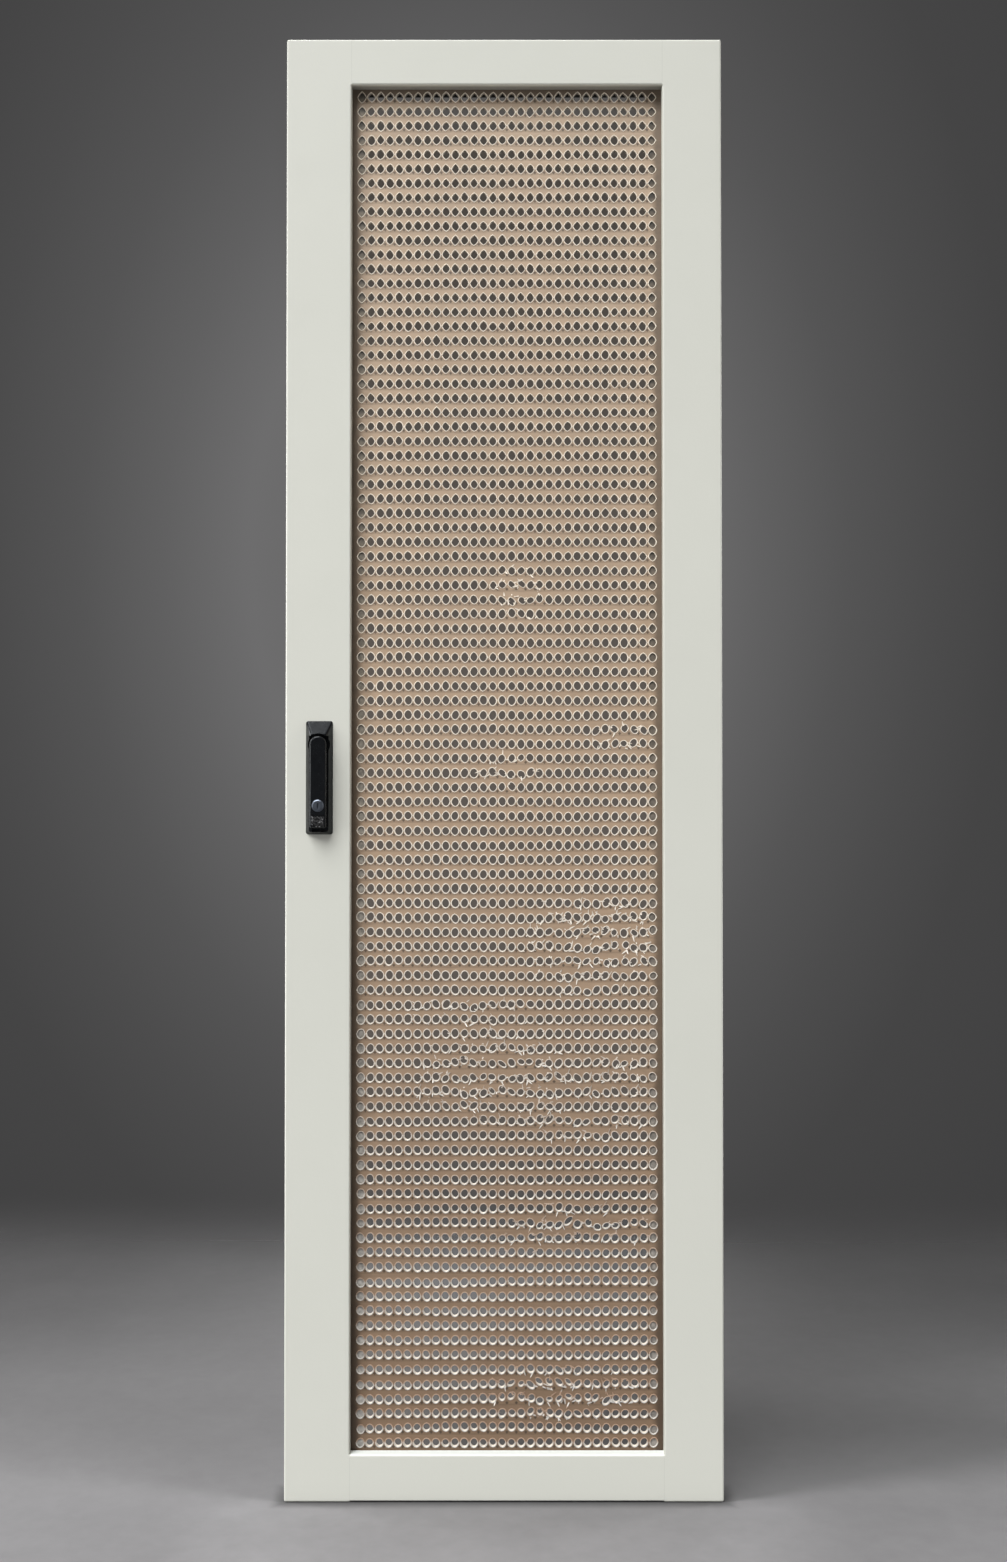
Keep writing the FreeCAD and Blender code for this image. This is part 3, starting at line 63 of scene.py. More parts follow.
SHEET_LOW, SHEET_HIGH = Vector((-0.497, SHEET_FRONT, -0.048)), Vector((-0.053, SHEET_BACK, 1.824))
COLUMNS, ROWS = 32, 94
HOLE_PITCH, ROW_PITCH = 0.0128, 0.0197
FIRST_HOLE, FIRST_ROW = -0.4734, -0.02805
HOLE_HALF_WIDTH, HOLE_HALF_HEIGHT = 0.0046, 0.0056
HOLE_SIDES = 12
RIM_WIDTH, RIM_RISE, RIM_DEPTH = 0.00122, 0.0006, 0.0012
WINDOW_MIDDLE = (WINDOW_LEFT + WINDOW_RIGHT) / 2
DOOR_MIDDLE = (DOOR_LEFT + DOOR_RIGHT) / 2
HOLE_CENTRE = (FIRST_HOLE, SHEET_FRONT, FIRST_ROW)

# Clamp studs: the planes that they and their nuts start from, and their spacing round the window
LANDING_BACK, STRIP_BACK = -0.027, -0.0258
STUD_ROW, STUD_END, STUD_PITCH = 0.0166, 0.043, 0.441
STUD_LEVELS = [WINDOW_FOOT + STUD_END + i * STUD_PITCH for i in range(5)]
STUD_RUNS = [WINDOW_LEFT + STUD_END, WINDOW_RIGHT - STUD_END]

# Threads as radius, depth and pitch; corner radius of a hexagon 7 mm across its flats
M4_THREAD, M6_THREAD = (0.0020, 0.00028, 0.0007), (0.0030, 0.0004, 0.0010)
HEXAGON = 0.0070 / math.sqrt(3)

# Turns that lay a flat circle against the door; distances under which places count as one
FACE_FRONT, FACE_BACK = (math.pi / 2, 0.0, 0.0), (-math.pi / 2, 0.0, 0.0)
NEAR, CLOSE, FINE = 1e-5, 1e-6, 1e-7

# Ragged patches of the sheet: middle x, middle z, reach across and reach up
RAGGED = (
    (-0.148, 0.644, 0.110, 0.080),
    (-0.290, 0.461, 0.115, 0.072),
    (-0.161, 0.267, 0.110, 0.026),
    (-0.202, 0.040, 0.110, 0.042),
    (-0.263, 1.125, 0.040, 0.040),
    (-0.267, 0.881, 0.045, 0.026),
    (-0.120, 0.930, 0.050, 0.020),
    (-0.126, 0.463, 0.075, 0.040),
    (-0.170, 0.400, 0.085, 0.022),
    (-0.257, 0.250, 0.075, 0.016),
    (-0.320, 0.556, 0.100, 0.016),
)


# Modelling helpers

def start_piece():
    """Nothing selected, object mode."""
    if bpy.context.object and bpy.context.object.mode != "OBJECT":
        bpy.ops.object.mode_set(mode="OBJECT")
    bpy.ops.object.select_all(action="DESELECT")


def take(piece):
    """Select one piece alone and make it active."""
    start_piece()
    piece.select_set(True)
    bpy.context.view_layer.objects.active = piece


def name_piece(name):
    """Name the active object and its mesh."""
    piece = bpy.context.object
    piece.name = name
    piece.data.name = name
    return piece


def enter(piece):
    """Edit mode on one piece, with nothing selected."""
    take(piece)
    bpy.ops.object.mode_set(mode="EDIT")
    bpy.ops.mesh.select_mode(type="VERT")
    bpy.ops.mesh.select_all(action="DESELECT")


def leave():
    bpy.ops.object.mode_set(mode="OBJECT")


def choose_all():
    bpy.ops.mesh.select_all(action="SELECT")


def choose(piece, kind, test):
    """Select the vertices, edges or faces that pass a test, in edit mode."""
    bpy.ops.mesh.select_mode(type=kind)
    mesh = bmesh.from_edit_mesh(piece.data)
    items = {"VERT": mesh.verts, "EDGE": mesh.edges, "FACE": mesh.faces}[kind]
    for item in items:
        item.select_set(bool(test(item)))
    mesh.select_flush_mode()
    bmesh.update_edit_mesh(piece.data)


def choose_open_edges(piece):
    choose(piece, "EDGE", lambda edge: edge.is_boundary)


def push(offset):
    bpy.ops.mesh.extrude_region_move(TRANSFORM_OT_translate={"value": offset})


def shrink(factors, centre):
    bpy.ops.transform.resize(value=factors, center_override=centre)


def close_up(reach=NEAR):
    """Merge doubles and turn every face outwards."""
    choose_all()
    bpy.ops.mesh.remove_doubles(threshold=reach)
    bpy.ops.mesh.normals_make_consistent(inside=False)


def array(piece, axis, count, step, merge=0.0):
    """Repeat a piece along an axis and apply it."""
    modifier = piece.modifiers.new("repeat", "ARRAY")
    modifier.count = count
    modifier.use_relative_offset = False
    modifier.use_constant_offset = True
    modifier.constant_offset_displace = [step if i == axis else 0.0 for i in range(3)]
    modifier.use_merge_vertices = merge > 0
    modifier.merge_threshold = merge
    apply(piece, modifier)


def apply(piece, modifier):
    take(piece)
    bpy.ops.object.modifier_apply(modifier=modifier.name)


def settle(piece):
    """Put the piece's place into its mesh."""
    take(piece)
    bpy.ops.object.transform_apply(location=True, rotation=True, scale=True)


def join(piece, *others):
    """Make other pieces part of a piece."""
    take(piece)
    for other in others:
        other.select_set(True)
    bpy.ops.object.join()


def smooth(piece, angle):
    take(piece)
    bpy.ops.object.shade_smooth_by_angle(angle=math.radians(angle))


def hand_over(piece, body, slot, *nodes):
    """Give a finished piece its body and hide the nodes that it stands for; the slot is not used."""
    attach(piece, body)
    if nodes:
        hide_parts(*nodes)


def complete(piece, finish, angle, body, slot, *nodes):
    """Give a piece its finish, smooth it up to an angle and hand it over."""
    piece.data.materials.append(finish)
    smooth(piece, angle)
    hand_over(piece, body, slot, *nodes)


# Perforated sheet

def hole_ring():
    """Outline of the first hole on the sheet's front."""
    start_piece()
    bpy.ops.mesh.primitive_circle_add(vertices=HOLE_SIDES, radius=1.0, location=HOLE_CENTRE,
                                      rotation=FACE_FRONT)
    piece = bpy.context.object
    bpy.ops.object.transform_apply(location=False, rotation=True, scale=True)
    piece.scale = (HOLE_HALF_WIDTH, 1.0, HOLE_HALF_HEIGHT)
    settle(piece)
    return piece


def in_first_cell(vert):
    """True inside the first hole's cell, off the cell's own outline."""
    return (abs(vert.co.x - FIRST_HOLE) < HOLE_PITCH / 2 - NEAR
            and abs(vert.co.z - FIRST_ROW) < ROW_PITCH / 2 - NEAR)


def perforated_sheet(finish, cut_finish):
    """One cell with a hole through it, repeated over the window, with a plain margin all round."""
    sheet = hole_ring()
    name_piece("perforated_sheet")
    enter(sheet)
    bpy.ops.mesh.primitive_plane_add(size=1.0, location=HOLE_CENTRE, rotation=FACE_FRONT)
    shrink((HOLE_PITCH, 1.0, ROW_PITCH), HOLE_CENTRE)
    bpy.ops.mesh.delete(type="ONLY_FACE")
    choose_all()
    bpy.ops.mesh.bridge_edge_loops()
    choose_all()
    bpy.ops.mesh.duplicate_move(TRANSFORM_OT_translate={"value": (0.0, SHEET_BACK - SHEET_FRONT, 0.0)})
    choose(sheet, "EDGE", lambda edge: edge.is_boundary and all(map(in_first_cell, edge.verts)))
    bpy.ops.mesh.bridge_edge_loops()
    leave()
    sheet.data.materials.append(finish)
    sheet.data.materials.append(cut_finish)
    array(sheet, 0, COLUMNS, HOLE_PITCH, NEAR)
    array(sheet, 2, ROWS, ROW_PITCH, NEAR)

    enter(sheet)
    middle = (SHEET_LOW + SHEET_HIGH) / 2
    grow = ((SHEET_HIGH.x - SHEET_LOW.x) / (COLUMNS * HOLE_PITCH), 1.0,
            (SHEET_HIGH.z - SHEET_LOW.z) / (ROWS * ROW_PITCH))
    choose_open_edges(sheet)
    bpy.ops.mesh.extrude_region_move()
    shrink(grow, middle)
    choose_open_edges(sheet)
    bpy.ops.mesh.bridge_edge_loops()
    close_up()
    choose(sheet, "FACE", lambda face: abs(face.normal.y) < 0.5)
    sheet.active_material_index = 1
    bpy.ops.object.material_slot_assign()
    leave()
    wander(sheet)
    smooth(sheet, 50)
    hand_over(sheet, "door", "tan_acrylic", "acrylic_panel")


def widen(old, new):
    """Scale the first hole's ring from one distance outside the hole to another."""
    shrink(((HOLE_HALF_WIDTH + new) / (HOLE_HALF_WIDTH + old), 1.0,
            (HOLE_HALF_HEIGHT + new) / (HOLE_HALF_HEIGHT + old)), HOLE_CENTRE)


def rim_unit():
    """Raised lip round the first hole: inner wall, flat crest, outer slope, drawn out at both sides."""
    inner, lip, crest, outer = -0.0001, RIM_WIDTH * 0.12, RIM_WIDTH * 0.90, RIM_WIDTH
    sunk, drawn = 0.0002, 0.00035
    rim = hole_ring()
    enter(rim)
    choose_all()
    bpy.ops.transform.translate(value=(0.0, RIM_DEPTH, 0.0))
    widen(0.0, inner)
    push((0.0, -RIM_RISE - RIM_DEPTH, 0.0))
    widen(inner, lip)
    push((0.0, RIM_RISE * 0.1, 0.0))
    widen(lip, crest)
    push((0.0, RIM_RISE * 0.9 + sunk, 0.0))
    widen(crest, outer)
    choose_open_edges(rim)
    bpy.ops.mesh.bridge_edge_loops()
    close_up()
    corner = HOLE_HALF_WIDTH + lip * 2
    for side in (-1.0, 1.0):
        choose(rim, "VERT", lambda vert: (vert.co.x - FIRST_HOLE) * side > corner
               and abs(vert.co.z - FIRST_ROW) < NEAR)
        bpy.ops.transform.translate(value=(side * drawn, 0.0, 0.0))
    leave()
    return rim


def hole_rims(finish, name, first, count):
    """Lips of some of the rows."""
    rims = rim_unit()
    name_piece(name)
    array(rims, 0, COLUMNS, HOLE_PITCH)
    array(rims, 2, count, ROW_PITCH)
    rims.location.z = first * ROW_PITCH
    settle(rims)
    wander(rims)
    complete(rims, finish, 45, "door", "tan_acrylic")


def frosted_slugs(finish, name, column):
    """Unpierced slugs that close the holes of one column."""
    slugs = hole_ring()
    name_piece(name)
    enter(slugs)
    choose_all()
    bpy.ops.mesh.edge_face_add()
    overlap, sunk, edge = 1.03, 0.0026, 0.0012
    shrink((overlap, 1.0, overlap), HOLE_CENTRE)
    bpy.ops.transform.translate(value=(0.0, sunk, 0.0))
    push((0.0, -edge, 0.0))
    for rise, narrower in ((0.0004, 0.80), (0.0002, 0.55)):
        push((0.0, -rise, 0.0))
        shrink((narrower, 1.0, narrower), HOLE_CENTRE)
    close_up()
    leave()
    array(slugs, 2, ROWS, ROW_PITCH)
    slugs.location.x = column * HOLE_PITCH
    settle(slugs)
    wander(slugs)
    complete(slugs, finish, 50, "door", "tan_acrylic")


def foam_bead(finish):
    """Edge of the foam under the top clamp strip, dark behind the upper half of the top row, where it stands
    in for shade.
    """
    foot = FIRST_ROW + (ROWS - 1) * ROW_PITCH + 0.0024
    head, front, back = WINDOW_TOP + 0.0023, SHEET_BACK + 0.00005, SHEET_BACK + 0.0012
    width = WINDOW_RIGHT - WINDOW_LEFT - 0.006
    middle = (WINDOW_MIDDLE, (front + back) / 2, (foot + head) / 2)
    start_piece()
    bpy.ops.mesh.primitive_cube_add(size=1.0, location=middle, scale=(width, back - front, head - foot))
    bead = name_piece("foam_bead")
    settle(bead)
    enter(bead)
    choose(bead, "EDGE", lambda edge: all(v.co.z < foot + NEAR and v.co.y > back - NEAR for v in edge.verts))
    bpy.ops.mesh.bevel(offset=0.0009, segments=4, affect="EDGES")
    leave()
    complete(bead, finish, 40, "door", "foam_rubber")


def burrs(finish):
    """Curled slivers of acrylic that stand out where the sheet is torn."""
    per_area, off_hole, lift = 24000, 1.1, 0.0002
    dice = np.random.default_rng(17)
    start_piece()
    bpy.ops.mesh.primitive_cube_add(size=1.0, scale=(0.0014, 0.00040, 0.0016))
    first = name_piece("burrs")
    settle(first)
    enter(first)
    choose(first, "FACE", lambda face: face.normal.z > 0.5)
    for rise, ahead, narrower in ((0.0014, -0.0002, 0.85), (0.0014, -0.0004, 0.70), (0.0010, -0.0005, 0.30)):
        push((0.0, ahead, rise))
        bpy.ops.transform.resize(value=(narrower, 0.85, 1.0))
    close_up(FINE)
    leave()
    copies = []
    for middle_x, middle_z, reach_x, reach_z in RAGGED:
        for _ in range(int(per_area * reach_x * reach_z)):
            turn, far = dice.uniform(0.0, 2 * math.pi), math.sqrt(dice.uniform(0.0, 0.9))
            column = round((middle_x + far * reach_x * math.cos(turn) - FIRST_HOLE) / HOLE_PITCH)
            row = round((middle_z + far * reach_z * math.sin(turn) - FIRST_ROW) / ROW_PITCH)
            side = dice.uniform(0.0, 2 * math.pi)
            if 1 <= column < COLUMNS - 1 and 0 <= row < ROWS:
                take(first)
                bpy.ops.object.duplicate()
                burr = bpy.context.object
                across = FIRST_HOLE + column * HOLE_PITCH + HOLE_HALF_WIDTH * off_hole * math.sin(side)
                up = FIRST_ROW + row * ROW_PITCH + HOLE_HALF_HEIGHT * off_hole * math.cos(side)
                burr.location = (across, SHEET_FRONT - lift, up)
                burr.rotation_euler = (dice.uniform(-0.5, 0.25), side + dice.normal() * 0.9, 0.0)
                burr.scale = [dice.uniform(0.8, 1.5), dice.uniform(0.8, 1.3), dice.uniform(0.7, 1.7)]
                copies.append(burr)
    join(*copies)
    bpy.data.objects.remove(first)
    torn = name_piece("burrs")
    settle(torn)
    complete(torn, finish, 40, "door", "tan_acrylic")


# Fasteners, spring and small fittings

def turned(name, start, axis, sides, rings):
    """Turned piece: a disc at a point, drawn out along an axis; rings are pairs of advance and radius."""
    start_piece()
    turn = {"y": FACE_BACK, "z": (0.0, 0.0, 0.0)}[axis]
    first = rings[0][1]
    bpy.ops.mesh.primitive_circle_add(vertices=sides, radius=first, fill_type="NGON", location=start,
                                      rotation=turn)
    piece = name_piece(name)
    settle(piece)
    enter(piece)
    choose_all()
    here, radius = Vector(start), first
    for advance, wanted in rings[1:]:
        step = Vector((0.0, advance, 0.0)) if axis == "y" else Vector((0.0, 0.0, advance))
        push(step)
        here += step
        if abs(wanted - radius) > FINE:
            factor = wanted / radius
            shrink((factor, 1.0 if axis == "y" else factor, 1.0 if axis == "z" else factor), here)
            radius = wanted
    close_up(FINE)
    leave()
    return piece


def thread_rings(radius, depth, pitch, length):
    """Rings of a threaded stretch."""
    return [(pitch * 0.5, radius - depth), (pitch * 0.5, radius)] * int(length / pitch)


def copy_to(piece, spots):
    """Copies of the whole piece inside its own mesh, from the first spot to each of the others."""
    enter(piece)
    choose_all()
    for old, new in zip(spots, spots[1:]):
        bpy.ops.mesh.duplicate_move(TRANSFORM_OT_translate={"value": Vector(new) - Vector(old)})
    leave()


def stud_spots(depth):
    """Places of the clamp studs: two uprights of five and two levels of two."""
    sides = [(x, depth, z) for x in (WINDOW_LEFT - STUD_ROW, WINDOW_RIGHT + STUD_ROW) for z in STUD_LEVELS]
    ends = [(x, depth, z) for z in (WINDOW_FOOT - STUD_ROW, WINDOW_TOP + STUD_ROW) for x in STUD_RUNS]
    return sides + ends


def clamp_studs(finish):
    """Threaded weld studs with a plain collar."""
    spots = stud_spots(LANDING_BACK)
    rings = [(0.0, 0.0020), (0.0014, 0.0020)] + thread_rings(*M4_THREAD, 0.0070)
    rings += [(0.0006, 0.0015)]
    studs = turned("threaded_studs", spots[0], "y", 14, rings)
    copy_to(studs, spots)
    complete(studs, finish, 25, "door", "fastener_steel", "clamp_studs")


def clamp_nuts(finish):
    """Hexagon nuts with chamfered corners."""
    bore, height, wall = 0.0021, 0.0032, 0.0030
    spots = stud_spots(STRIP_BACK)
    start_piece()
    bpy.ops.mesh.primitive_circle_add(vertices=6, radius=HEXAGON, location=spots[0], rotation=FACE_BACK)
    nuts = name_piece("chamfered_nuts")
    settle(nuts)
    enter(nuts)
    bpy.ops.mesh.primitive_circle_add(vertices=12, radius=bore, location=spots[0], rotation=FACE_BACK)
    choose_all()
    bpy.ops.mesh.bridge_edge_loops()
    choose_all()
    push((0.0, height, 0.0))
    close_up()
    x, _, z = spots[0]

    def on_level_rim(edge):
        outside = all(math.hypot(vert.co.x - x, vert.co.z - z) > wall for vert in edge.verts)
        return outside and abs(edge.verts[0].co.y - edge.verts[1].co.y) < CLOSE

    choose(nuts, "EDGE", on_level_rim)
    bpy.ops.mesh.bevel(offset=0.00035, segments=2)
    leave()
    copy_to(nuts, spots)
    complete(nuts, finish, 25, "door", "fastener_steel", "clamp_nuts")


def drive_recess(piece, at, reach, depth):
    """Cut a cross recess into the back of a screw head."""
    blade, taper = 0.28, 0.7
    for wide, tall in ((reach, reach * blade), (reach * blade, reach)):
        start_piece()
        bpy.ops.mesh.primitive_cube_add(size=1.0, location=at, scale=(wide, depth * 2, tall))
        cutter = bpy.context.object
        settle(cutter)
        enter(cutter)
        choose(cutter, "FACE", lambda face: face.normal.y < -0.5)
        shrink((taper, 1.0, taper), at)
        leave()
        cut = piece.modifiers.new("recess", "BOOLEAN")
        cut.operation = "DIFFERENCE"
        cut.object = cutter
        apply(piece, cut)
        bpy.data.objects.remove(cutter)


def dish_screws(finish):
    """Pan-head screws that hold the dish from behind."""
    tip, head, head_height = -0.051, -0.0415, 0.0028
    spots = [(HANDLE_X, tip, HANDLE_Z + rise) for rise in (0.020, -0.090)]
    rings = [(0.0, 0.0015), (0.0004, 0.0020), (head - tip - 0.0004, 0.0020), (0.0, 0.00375),
             (0.0013, 0.00375), (0.0007, 0.0035), (0.0005, 0.0028), (0.0003, 0.0018)]
    screws = turned("pan_head_screws", spots[0], "y", 24, rings)
    drive_recess(screws, (spots[0][0], head + head_height, spots[0][2]), 0.0038, 0.0014)
    copy_to(screws, spots)
    complete(screws, finish, 30, "door", "fastener_steel", "dish_screws")


def earth_stud(finish):
    """Threaded earth stud on the hinge stile."""
    rings = [(0.0, 0.0030), (0.0020, 0.0030)] + thread_rings(*M6_THREAD, 0.0170)
    rings += [(0.0010, 0.0020)]
    stud = turned("threaded_earth_stud", (-0.030, -0.0435, 0.080), "y", 20, rings)
    complete(stud, finish, 25, "door", "fastener_steel", "earth_stud")


def cam_screw(finish):
    """Hexagon screw that holds the cam on the square."""
    head = (HANDLE_X, -0.0283, HANDLE_Z)
    rings = [(0.0, HEXAGON * 0.93), (0.0002, HEXAGON), (0.0021, HEXAGON), (0.0005, HEXAGON * 0.86)]
    screw = turned("hexagon_cam_screw", head, "y", 6, rings)
    enter(screw)
    choose_all()
    bpy.ops.transform.rotate(value=math.pi / 6, orient_axis="Y", center_override=head)
    leave()
    rings = [(0.0, 0.0015)] + thread_rings(*M4_THREAD, 0.0077)
    shank = turned("cam_screw_shank", (HANDLE_X, -0.0363, HANDLE_Z), "y", 16, rings)
    join(screw, shank)
    complete(screw, finish, 25, "turret", "fastener_steel", "cam_screw")


def lock_barrel(finish):
    """Lock housing with a rounded rim and a turned groove round the plug."""
    low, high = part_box("lock_housing")
    middle = (low + high) / 2
    back, front = high.y, low.y
    outer, bore = 0.00835, 0.00555
    rings = [(front + 0.0014, outer), (front + 0.0011, 0.00825), (front + 0.0002, 0.00680),
             (front, 0.00650), (front, 0.00625), (front + 0.0005, 0.00615), (front + 0.0005, 0.00575),
             (front + 0.0001, 0.00570), (front + 0.0001, bore), (back, bore)]
    start_piece()
    bpy.ops.mesh.primitive_circle_add(vertices=48, radius=outer, location=(middle.x, back, middle.z),
                                      rotation=FACE_FRONT)
    barrel = name_piece("lock_barrel")
    settle(barrel)
    enter(barrel)
    choose_all()
    depth, radius = back, outer
    for new_depth, new_radius in rings:
        push((0.0, new_depth - depth, 0.0))
        factor = new_radius / radius
        shrink((factor, 1.0, factor), (middle.x, new_depth, middle.z))
        depth, radius = new_depth, new_radius
    choose_open_edges(barrel)
    bpy.ops.mesh.bridge_edge_loops()
    close_up(CLOSE)
    leave()
    complete(barrel, finish, 35, "lever", "lock_steel", "lock_housing")


def hinge_spring(finish):
    """Round-wire coil spring that shortens as the pin is pulled."""
    low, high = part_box("hinge_spring")
    wire, radius, turns = 0.00065, 0.0055, 7
    length, travel = high.z - low.z, 0.012
    start_piece()
    bpy.ops.mesh.primitive_circle_add(vertices=10, radius=wire, location=(radius, 0.0, low.z + wire),
                                      rotation=FACE_FRONT)
    spring = name_piece("coil_spring")
    settle(spring)
    coil = spring.modifiers.new("coil", "SCREW")
    coil.axis = "Z"
    coil.steps = coil.render_steps = 20
    coil.iterations = turns
    coil.screw_offset = (length - 2 * wire) / turns
    apply(spring, coil)
    enter(spring)
    choose_open_edges(spring)
    bpy.ops.mesh.edge_face_add()
    close_up(CLOSE)
    leave()
    complete(spring, finish, 60, "door", "fastener_steel", "hinge_spring")
    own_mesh(spring)


def grip_pad(finish):
    """Rubber pad with a pebbled face."""
    low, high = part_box("grip_pad")
    middle, extent = (low + high) / 2, high - low
    start_piece()
    bpy.ops.mesh.primitive_cube_add(size=1.0, location=middle, scale=extent)
    pad = name_piece("pebbled_grip_pad")
    settle(pad)
    enter(pad)
    choose(pad, "EDGE", lambda edge: abs(edge.verts[0].co.y - edge.verts[1].co.y) > NEAR)
    bpy.ops.mesh.bevel(offset=0.0012, segments=4)
    choose(pad, "FACE", lambda face: face.normal.y < -0.9)
    bpy.ops.mesh.inset(thickness=0.0007, depth=0.0)
    leave()
    join(pad, pebble_field(low, high))
    complete(pad, finish, 12, "lever", "grip_rubber", "grip_pad")


def pebble_field(low, high):
    """Low pebbles over the pad's face, each a little different."""
    border, columns, lines, rise, sunk = 0.0022, 7, 6, 0.00034, 0.00005
    step_x = (high.x - low.x - 2 * border) / (columns - 1)
    step_z = (high.z - low.z - 2 * border) / (lines - 1)
    first = Vector((low.x + border, low.y + sunk, low.z + border))
    start_piece()
    bpy.ops.mesh.primitive_circle_add(vertices=7, radius=step_x * 0.52, fill_type="NGON", location=first,
                                      rotation=FACE_FRONT)
    field = name_piece("pebbles")
    settle(field)
    enter(field)
    choose_all()
    for share, narrower in ((0.6, 0.86), (0.4, 0.60)):
        push((0.0, -rise * share, 0.0))
        shrink((narrower, 1.0, narrower), first)
    close_up(FINE)
    leave()
    array(field, 0, columns, step_x)
    array(field, 2, lines, step_z)
    enter(field)
    choose(field, "VERT", lambda vert: vert.co.y < low.y)
    bpy.ops.transform.vertex_random(offset=0.00024, uniform=1.0, normal=0.0, seed=7)
    leave()
    return field


def weld_beads(finish):
    """Rippled welds along both sides of each hinge bracket."""
    ripples = [(0.0009, 0.0016), (0.0009, 0.0013)] * 18
    rings = [(0.0, 0.0004), (0.0006, 0.0012)] + ripples + [(0.0006, 0.0004)]
    spots = [(x, -0.0100, z) for z in (1.7415, 0.0085) for x in (-0.0092, 0.0092)]
    beads = turned("hinge_welds", spots[0], "z", 10, rings)
    copy_to(beads, spots)
    complete(beads, finish, 60, "door", "frame_paint")


def raggedness(x, z):
    """0 on even ground, towards 1 in the middle of a ragged patch."""
    level = 0.0
    for middle_x, middle_z, reach_x, reach_z in RAGGED:
        far = ((x - middle_x) / reach_x) ** 2 + ((z - middle_z) / reach_z) ** 2
        level = max(level, 1.0 - far)
    return level


def wander(piece):
    """Make every hole a little different: pointed higher up, round lower down, torn in the ragged patches."""
    dice = np.random.default_rng(41)
    drift = dice.normal(size=(ROWS, COLUMNS, 6))
    spots = np.zeros(len(piece.data.vertices) * 3)
    piece.data.vertices.foreach_get("co", spots)
    spots = spots.reshape(-1, 3)
    column = np.clip(np.rint((spots[:, 0] - FIRST_HOLE) / HOLE_PITCH), 0, COLUMNS - 1).astype(int)
    row = np.clip(np.rint((spots[:, 2] - FIRST_ROW) / ROW_PITCH), 0, ROWS - 1).astype(int)
    across = spots[:, 0] - FIRST_HOLE - column * HOLE_PITCH
    up = spots[:, 2] - FIRST_ROW - row * ROW_PITCH
    movable = (np.abs(across) < HOLE_PITCH / 2 - NEAR) & (np.abs(up) < ROW_PITCH / 2 - NEAR)
    torn = np.array([[raggedness(FIRST_HOLE + c * HOLE_PITCH, FIRST_ROW + r * ROW_PITCH)
                      for c in range(COLUMNS)] for r in range(ROWS)])
    height = np.linspace(0.0, 1.0, ROWS)[:, None]
    point = 2.1 - 0.80 * np.clip(height * 1.5 - 0.25, 0.0, 1.0) + 0.12 * drift[:, :, 0]
    point = np.clip(point, 1.22, 2.3)
    uneven = 1.0 + 0.03 * drift[:, :, 1] - 0.10 * torn * np.abs(drift[:, :, 1])
    size = (1.0 + 0.12 * height) * np.clip(uneven, 0.78, 1.06)
    squash = np.clip(1.0 + 0.04 * drift[:, :, 2] - 0.15 * torn * np.abs(drift[:, :, 2]), 0.72, 1.08)
    squash = squash * (1.02 - 0.02 * height)
    slide = 0.00018 * drift[:, :, 3] + 0.0007 * torn * drift[:, :, 3]
    ripple = np.sin(0.9 * np.arange(COLUMNS)[None, :] + 2.1 * np.arange(ROWS)[:, None])
    sway = np.sin(np.linspace(0.0, 5.0, COLUMNS)[None, :] + 2.4 * drift[:, :1, 0]) * drift[:, :1, 1]
    lift = 0.00022 * drift[:, :, 4] + 0.0012 * torn * drift[:, :, 4] + 0.0022 * torn * ripple
    lift = lift + 0.0011 * np.clip(1.15 - 1.5 * height, 0.0, 1.0) * np.clip(sway, -1.8, 1.8)
    lean = 0.05 * drift[:, :, 5] + 0.22 * torn * drift[:, :, 5]

    exponent = point[row, column]
    angle = np.arctan2(up / HOLE_HALF_HEIGHT, across / HOLE_HALF_WIDTH)
    exponent = np.where(up < 0, exponent * 0.8 + 0.36, exponent)
    reach = (np.abs(np.cos(angle)) ** exponent + np.abs(np.sin(angle)) ** exponent) ** (-1.0 / exponent)
    wide = across * reach * size[row, column]
    tall = up * reach * size[row, column] * squash[row, column]
    new_x = spots[:, 0] - across + wide + slide[row, column] + lean[row, column] * tall
    new_z = spots[:, 2] - up + tall + lift[row, column]
    limit_x = HOLE_PITCH / 2 - 0.00008
    new_x = np.clip(new_x, spots[:, 0] - across - limit_x, spots[:, 0] - across + limit_x)
    limit_z = ROW_PITCH / 2 - 0.0002
    new_z = np.clip(new_z, spots[:, 2] - up - limit_z, spots[:, 2] - up + limit_z)
    spots[:, 0] = np.where(movable, new_x, spots[:, 0])
    spots[:, 2] = np.where(movable, new_z, spots[:, 2])
    piece.data.vertices.foreach_set("co", spots.ravel())
    piece.data.update()


# Shared shader effects

def shader_group(name, inputs, outputs):
    """Empty effect with named sockets; each input is a name, a socket kind and a starting value."""
    tree = bpy.data.node_groups.new(name, "ShaderNodeTree")
    for label, kind, value in inputs:
        socket = tree.interface.new_socket(label, in_out="INPUT", socket_type=f"NodeSocket{kind}")
        if value is not None:
            socket.default_value = value
    for label, kind in outputs:
        tree.interface.new_socket(label, in_out="OUTPUT", socket_type=f"NodeSocket{kind}")
    return tree, tree.nodes.new("NodeGroupInput").outputs, tree.nodes.new("NodeGroupOutput").inputs


def fill(tree, node, sockets):
    """Put values or links on a node's sockets."""
    for key, value in sockets.items():
        if isinstance(value, bpy.types.NodeSocket):
            tree.links.new(value, node.inputs[key])
        else:
            node.inputs[key].default_value = value
    return node


def add(tree, kind, sockets=None, **settings):
    """A node with its settings, and with values or links on its sockets."""
    node = tree.nodes.new(f"ShaderNode{kind}")
    for key, value in settings.items():
        setattr(node, key, value)
    return fill(tree, node, sockets or {})


